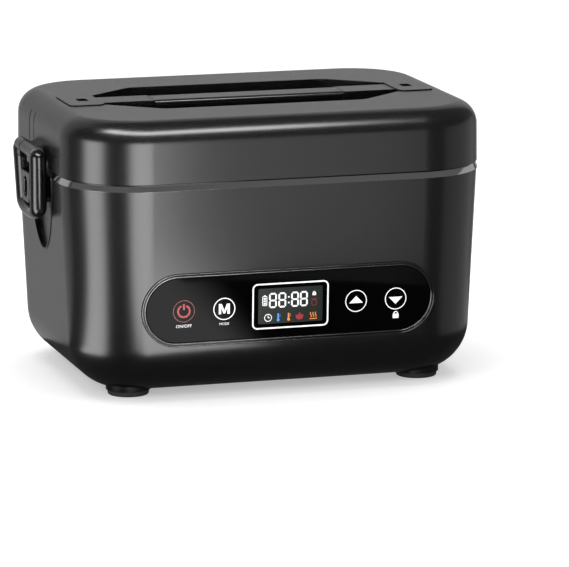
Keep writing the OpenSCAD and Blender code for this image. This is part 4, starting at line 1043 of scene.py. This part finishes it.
def card(name, rows, light):
    """A card of the light tent, that only shows in reflections; light is a
    function of place."""
    bm = bmesh.new()
    grid = [[bm.verts.new(p) for p in row] for row in rows]
    for a, b in zip(grid, grid[1:]):
        for k in range(len(a) - 1):
            bm.faces.new((a[k], a[k + 1], b[k + 1], b[k]))
    me = bpy.data.meshes.new(name)
    bm.to_mesh(me)
    bm.free()
    glow = me.attributes.new("glow", "FLOAT", "POINT")
    for k, v in enumerate(me.vertices):
        glow.data[k].value = light(v.co)
    mat = bpy.data.materials.new(name)
    mat.use_nodes = True
    mat.cycles.emission_sampling = "NONE"
    nt = mat.node_tree
    nt.nodes.clear()
    out = nt.nodes.new("ShaderNodeOutputMaterial")
    shade = nt.nodes.new("ShaderNodeEmission")
    amount = nt.nodes.new("ShaderNodeAttribute")
    amount.attribute_name = "glow"
    nt.links.new(amount.outputs["Fac"], shade.inputs["Strength"])
    nt.links.new(shade.outputs["Emission"], out.inputs["Surface"])
    ob = link(name, me, mat)
    ob.visible_camera = ob.visible_diffuse = ob.visible_shadow = False
    ob.visible_transmission = ob.visible_volume_scatter = False


def round_rows(az0, az1, radii):
    """Rows of a strip round the tent; each row has its own radius and height."""
    n = az1 - az0
    turn = [math.radians(az0 + k) for k in range(n + 1)]
    return [[(-r * math.sin(t), -r * math.cos(t), z) for t in turn] for r, z in radii]


def dome(r, a0, a1, n):
    """Radius and height at steps of the tent's rounded roof, a0 to a1 degrees up."""
    out = []
    for k in range(n + 1):
        a = math.radians(a0 + (a1 - a0) * k / n)
        out.append((r * math.cos(a), TENT_EAVES + (TENT_H - TENT_EAVES) * math.sin(a)))
    return out


def standing(foot, top):
    """A card's rows: from its foot on the floor out to the wall and up it."""
    return [(foot, CARD_FOOT_Z), (CARD_R, CARD_FOOT_Z), (CARD_R, top)]


def make_tent():
    lining = [(TENT_R, 0.0)] + dome(TENT_R, 0, 90, 12)
    card("tent_lining", round_rows(-180, 180, lining), lambda p: TENT_LIGHT)
    card("tent_floor", round_rows(-180, 180, [(0.0, TENT_FLOOR_Z), (TENT_R, TENT_FLOOR_Z)]),
         lambda p: TENT_FLOOR_LIGHT)
    for name, az0, az1, foot, light in SOFT_CARDS:
        card("tent_" + name, round_rows(az0, az1, standing(foot, CARD_TOP)),
             soft_light(light, az0, az1))
    back = standing(BACK_FOOT, TENT_EAVES) + dome(CARD_R, *BACK_UP, 6)
    card("tent_back", round_rows(BACK_FROM, BACK_TO, back),
         soft_light(BACK_LIGHT, BACK_FROM, BACK_TO))
    card("tent_strip", round_rows(STRIP_FROM, STRIP_TO, dome(STRIP_R, *STRIP_UP, 5)),
         soft_light(STRIP_LIGHT, STRIP_FROM, STRIP_TO))


def area_light(name, place, look_at, size, power, size_y=None):
    li = bpy.data.lights.new(name, "AREA")
    li.shape = "RECTANGLE"
    li.size, li.size_y = size, size_y or size
    li.energy = power
    ob = bpy.data.objects.new(name, li)
    bpy.context.scene.collection.objects.link(ob)
    ob.location = place
    d = Vector(look_at) - Vector(place)
    ob.rotation_mode = "QUATERNION"
    ob.rotation_quaternion = d.to_track_quat("-Z", "Y")
    ob.visible_glossy = False
    return ob


def make_lights():
    area_light("top_softbox", (0.0, 0.2, 1.6), (0, 0, 0.1), 1.6, 16, 1.2)
    area_light("left_softbox", (-1.2, -0.9, 0.7), (0, 0, 0.08), 0.7, 6, 1.1)
    area_light("right_fill", (1.4, -0.6, 0.6), (0, 0, 0.08), 0.6, 2, 0.9)
    world = bpy.data.worlds.new("studio")
    bpy.context.scene.world = world
    world.use_nodes = True
    bg = world.node_tree.nodes["Background"]
    bg.inputs["Color"].default_value = (1, 1, 1, 1)
    bg.inputs["Strength"].default_value = 0.6


# the camera: its angles in degrees, its distance and the height it looks at in
# metres, how far its aim lies to the right and down, and its lens
CAMERA_AZ, CAMERA_EL, CAMERA_DIST, TARGET_Z = -16.286, 10.915, 2.484, 0.0645
AIM_RIGHT, AIM_DOWN, LENS = 0.0220, 0.0176, 276.54


def make_camera():
    az, el = math.radians(CAMERA_AZ), math.radians(CAMERA_EL)
    back = Vector((math.sin(az) * math.cos(el), -math.cos(az) * math.cos(el), math.sin(el)))
    right = Vector((math.cos(az), math.sin(az), 0))
    up = right.cross(-back)
    target = Vector((0, 0, TARGET_Z))
    place = target + back * CAMERA_DIST
    aim = target + right * AIM_RIGHT - up * AIM_DOWN
    cam = bpy.data.cameras.new("camera")
    cam.sensor_width = 36
    cam.lens = LENS
    cam.clip_start, cam.clip_end = 0.1, 20
    ob = bpy.data.objects.new("camera", cam)
    bpy.context.scene.collection.objects.link(ob)
    ob.location = place
    ob.rotation_mode = "QUATERNION"
    ob.rotation_quaternion = (aim - place).to_track_quat("-Z", "Y")
    bpy.context.scene.camera = ob


make_camera()
make_tub()
make_band()
make_feet()
make_well()
make_tray()
make_lid()
make_handle()
for sign, side_name in ((-1, "left"), (1, "right")):
    make_latch(sign, side_name)
make_panel()
make_inlet()
finish_cad_nodes()
make_stage()
make_tent()
make_lights()
bpy.context.scene.view_settings.view_transform = "Standard"
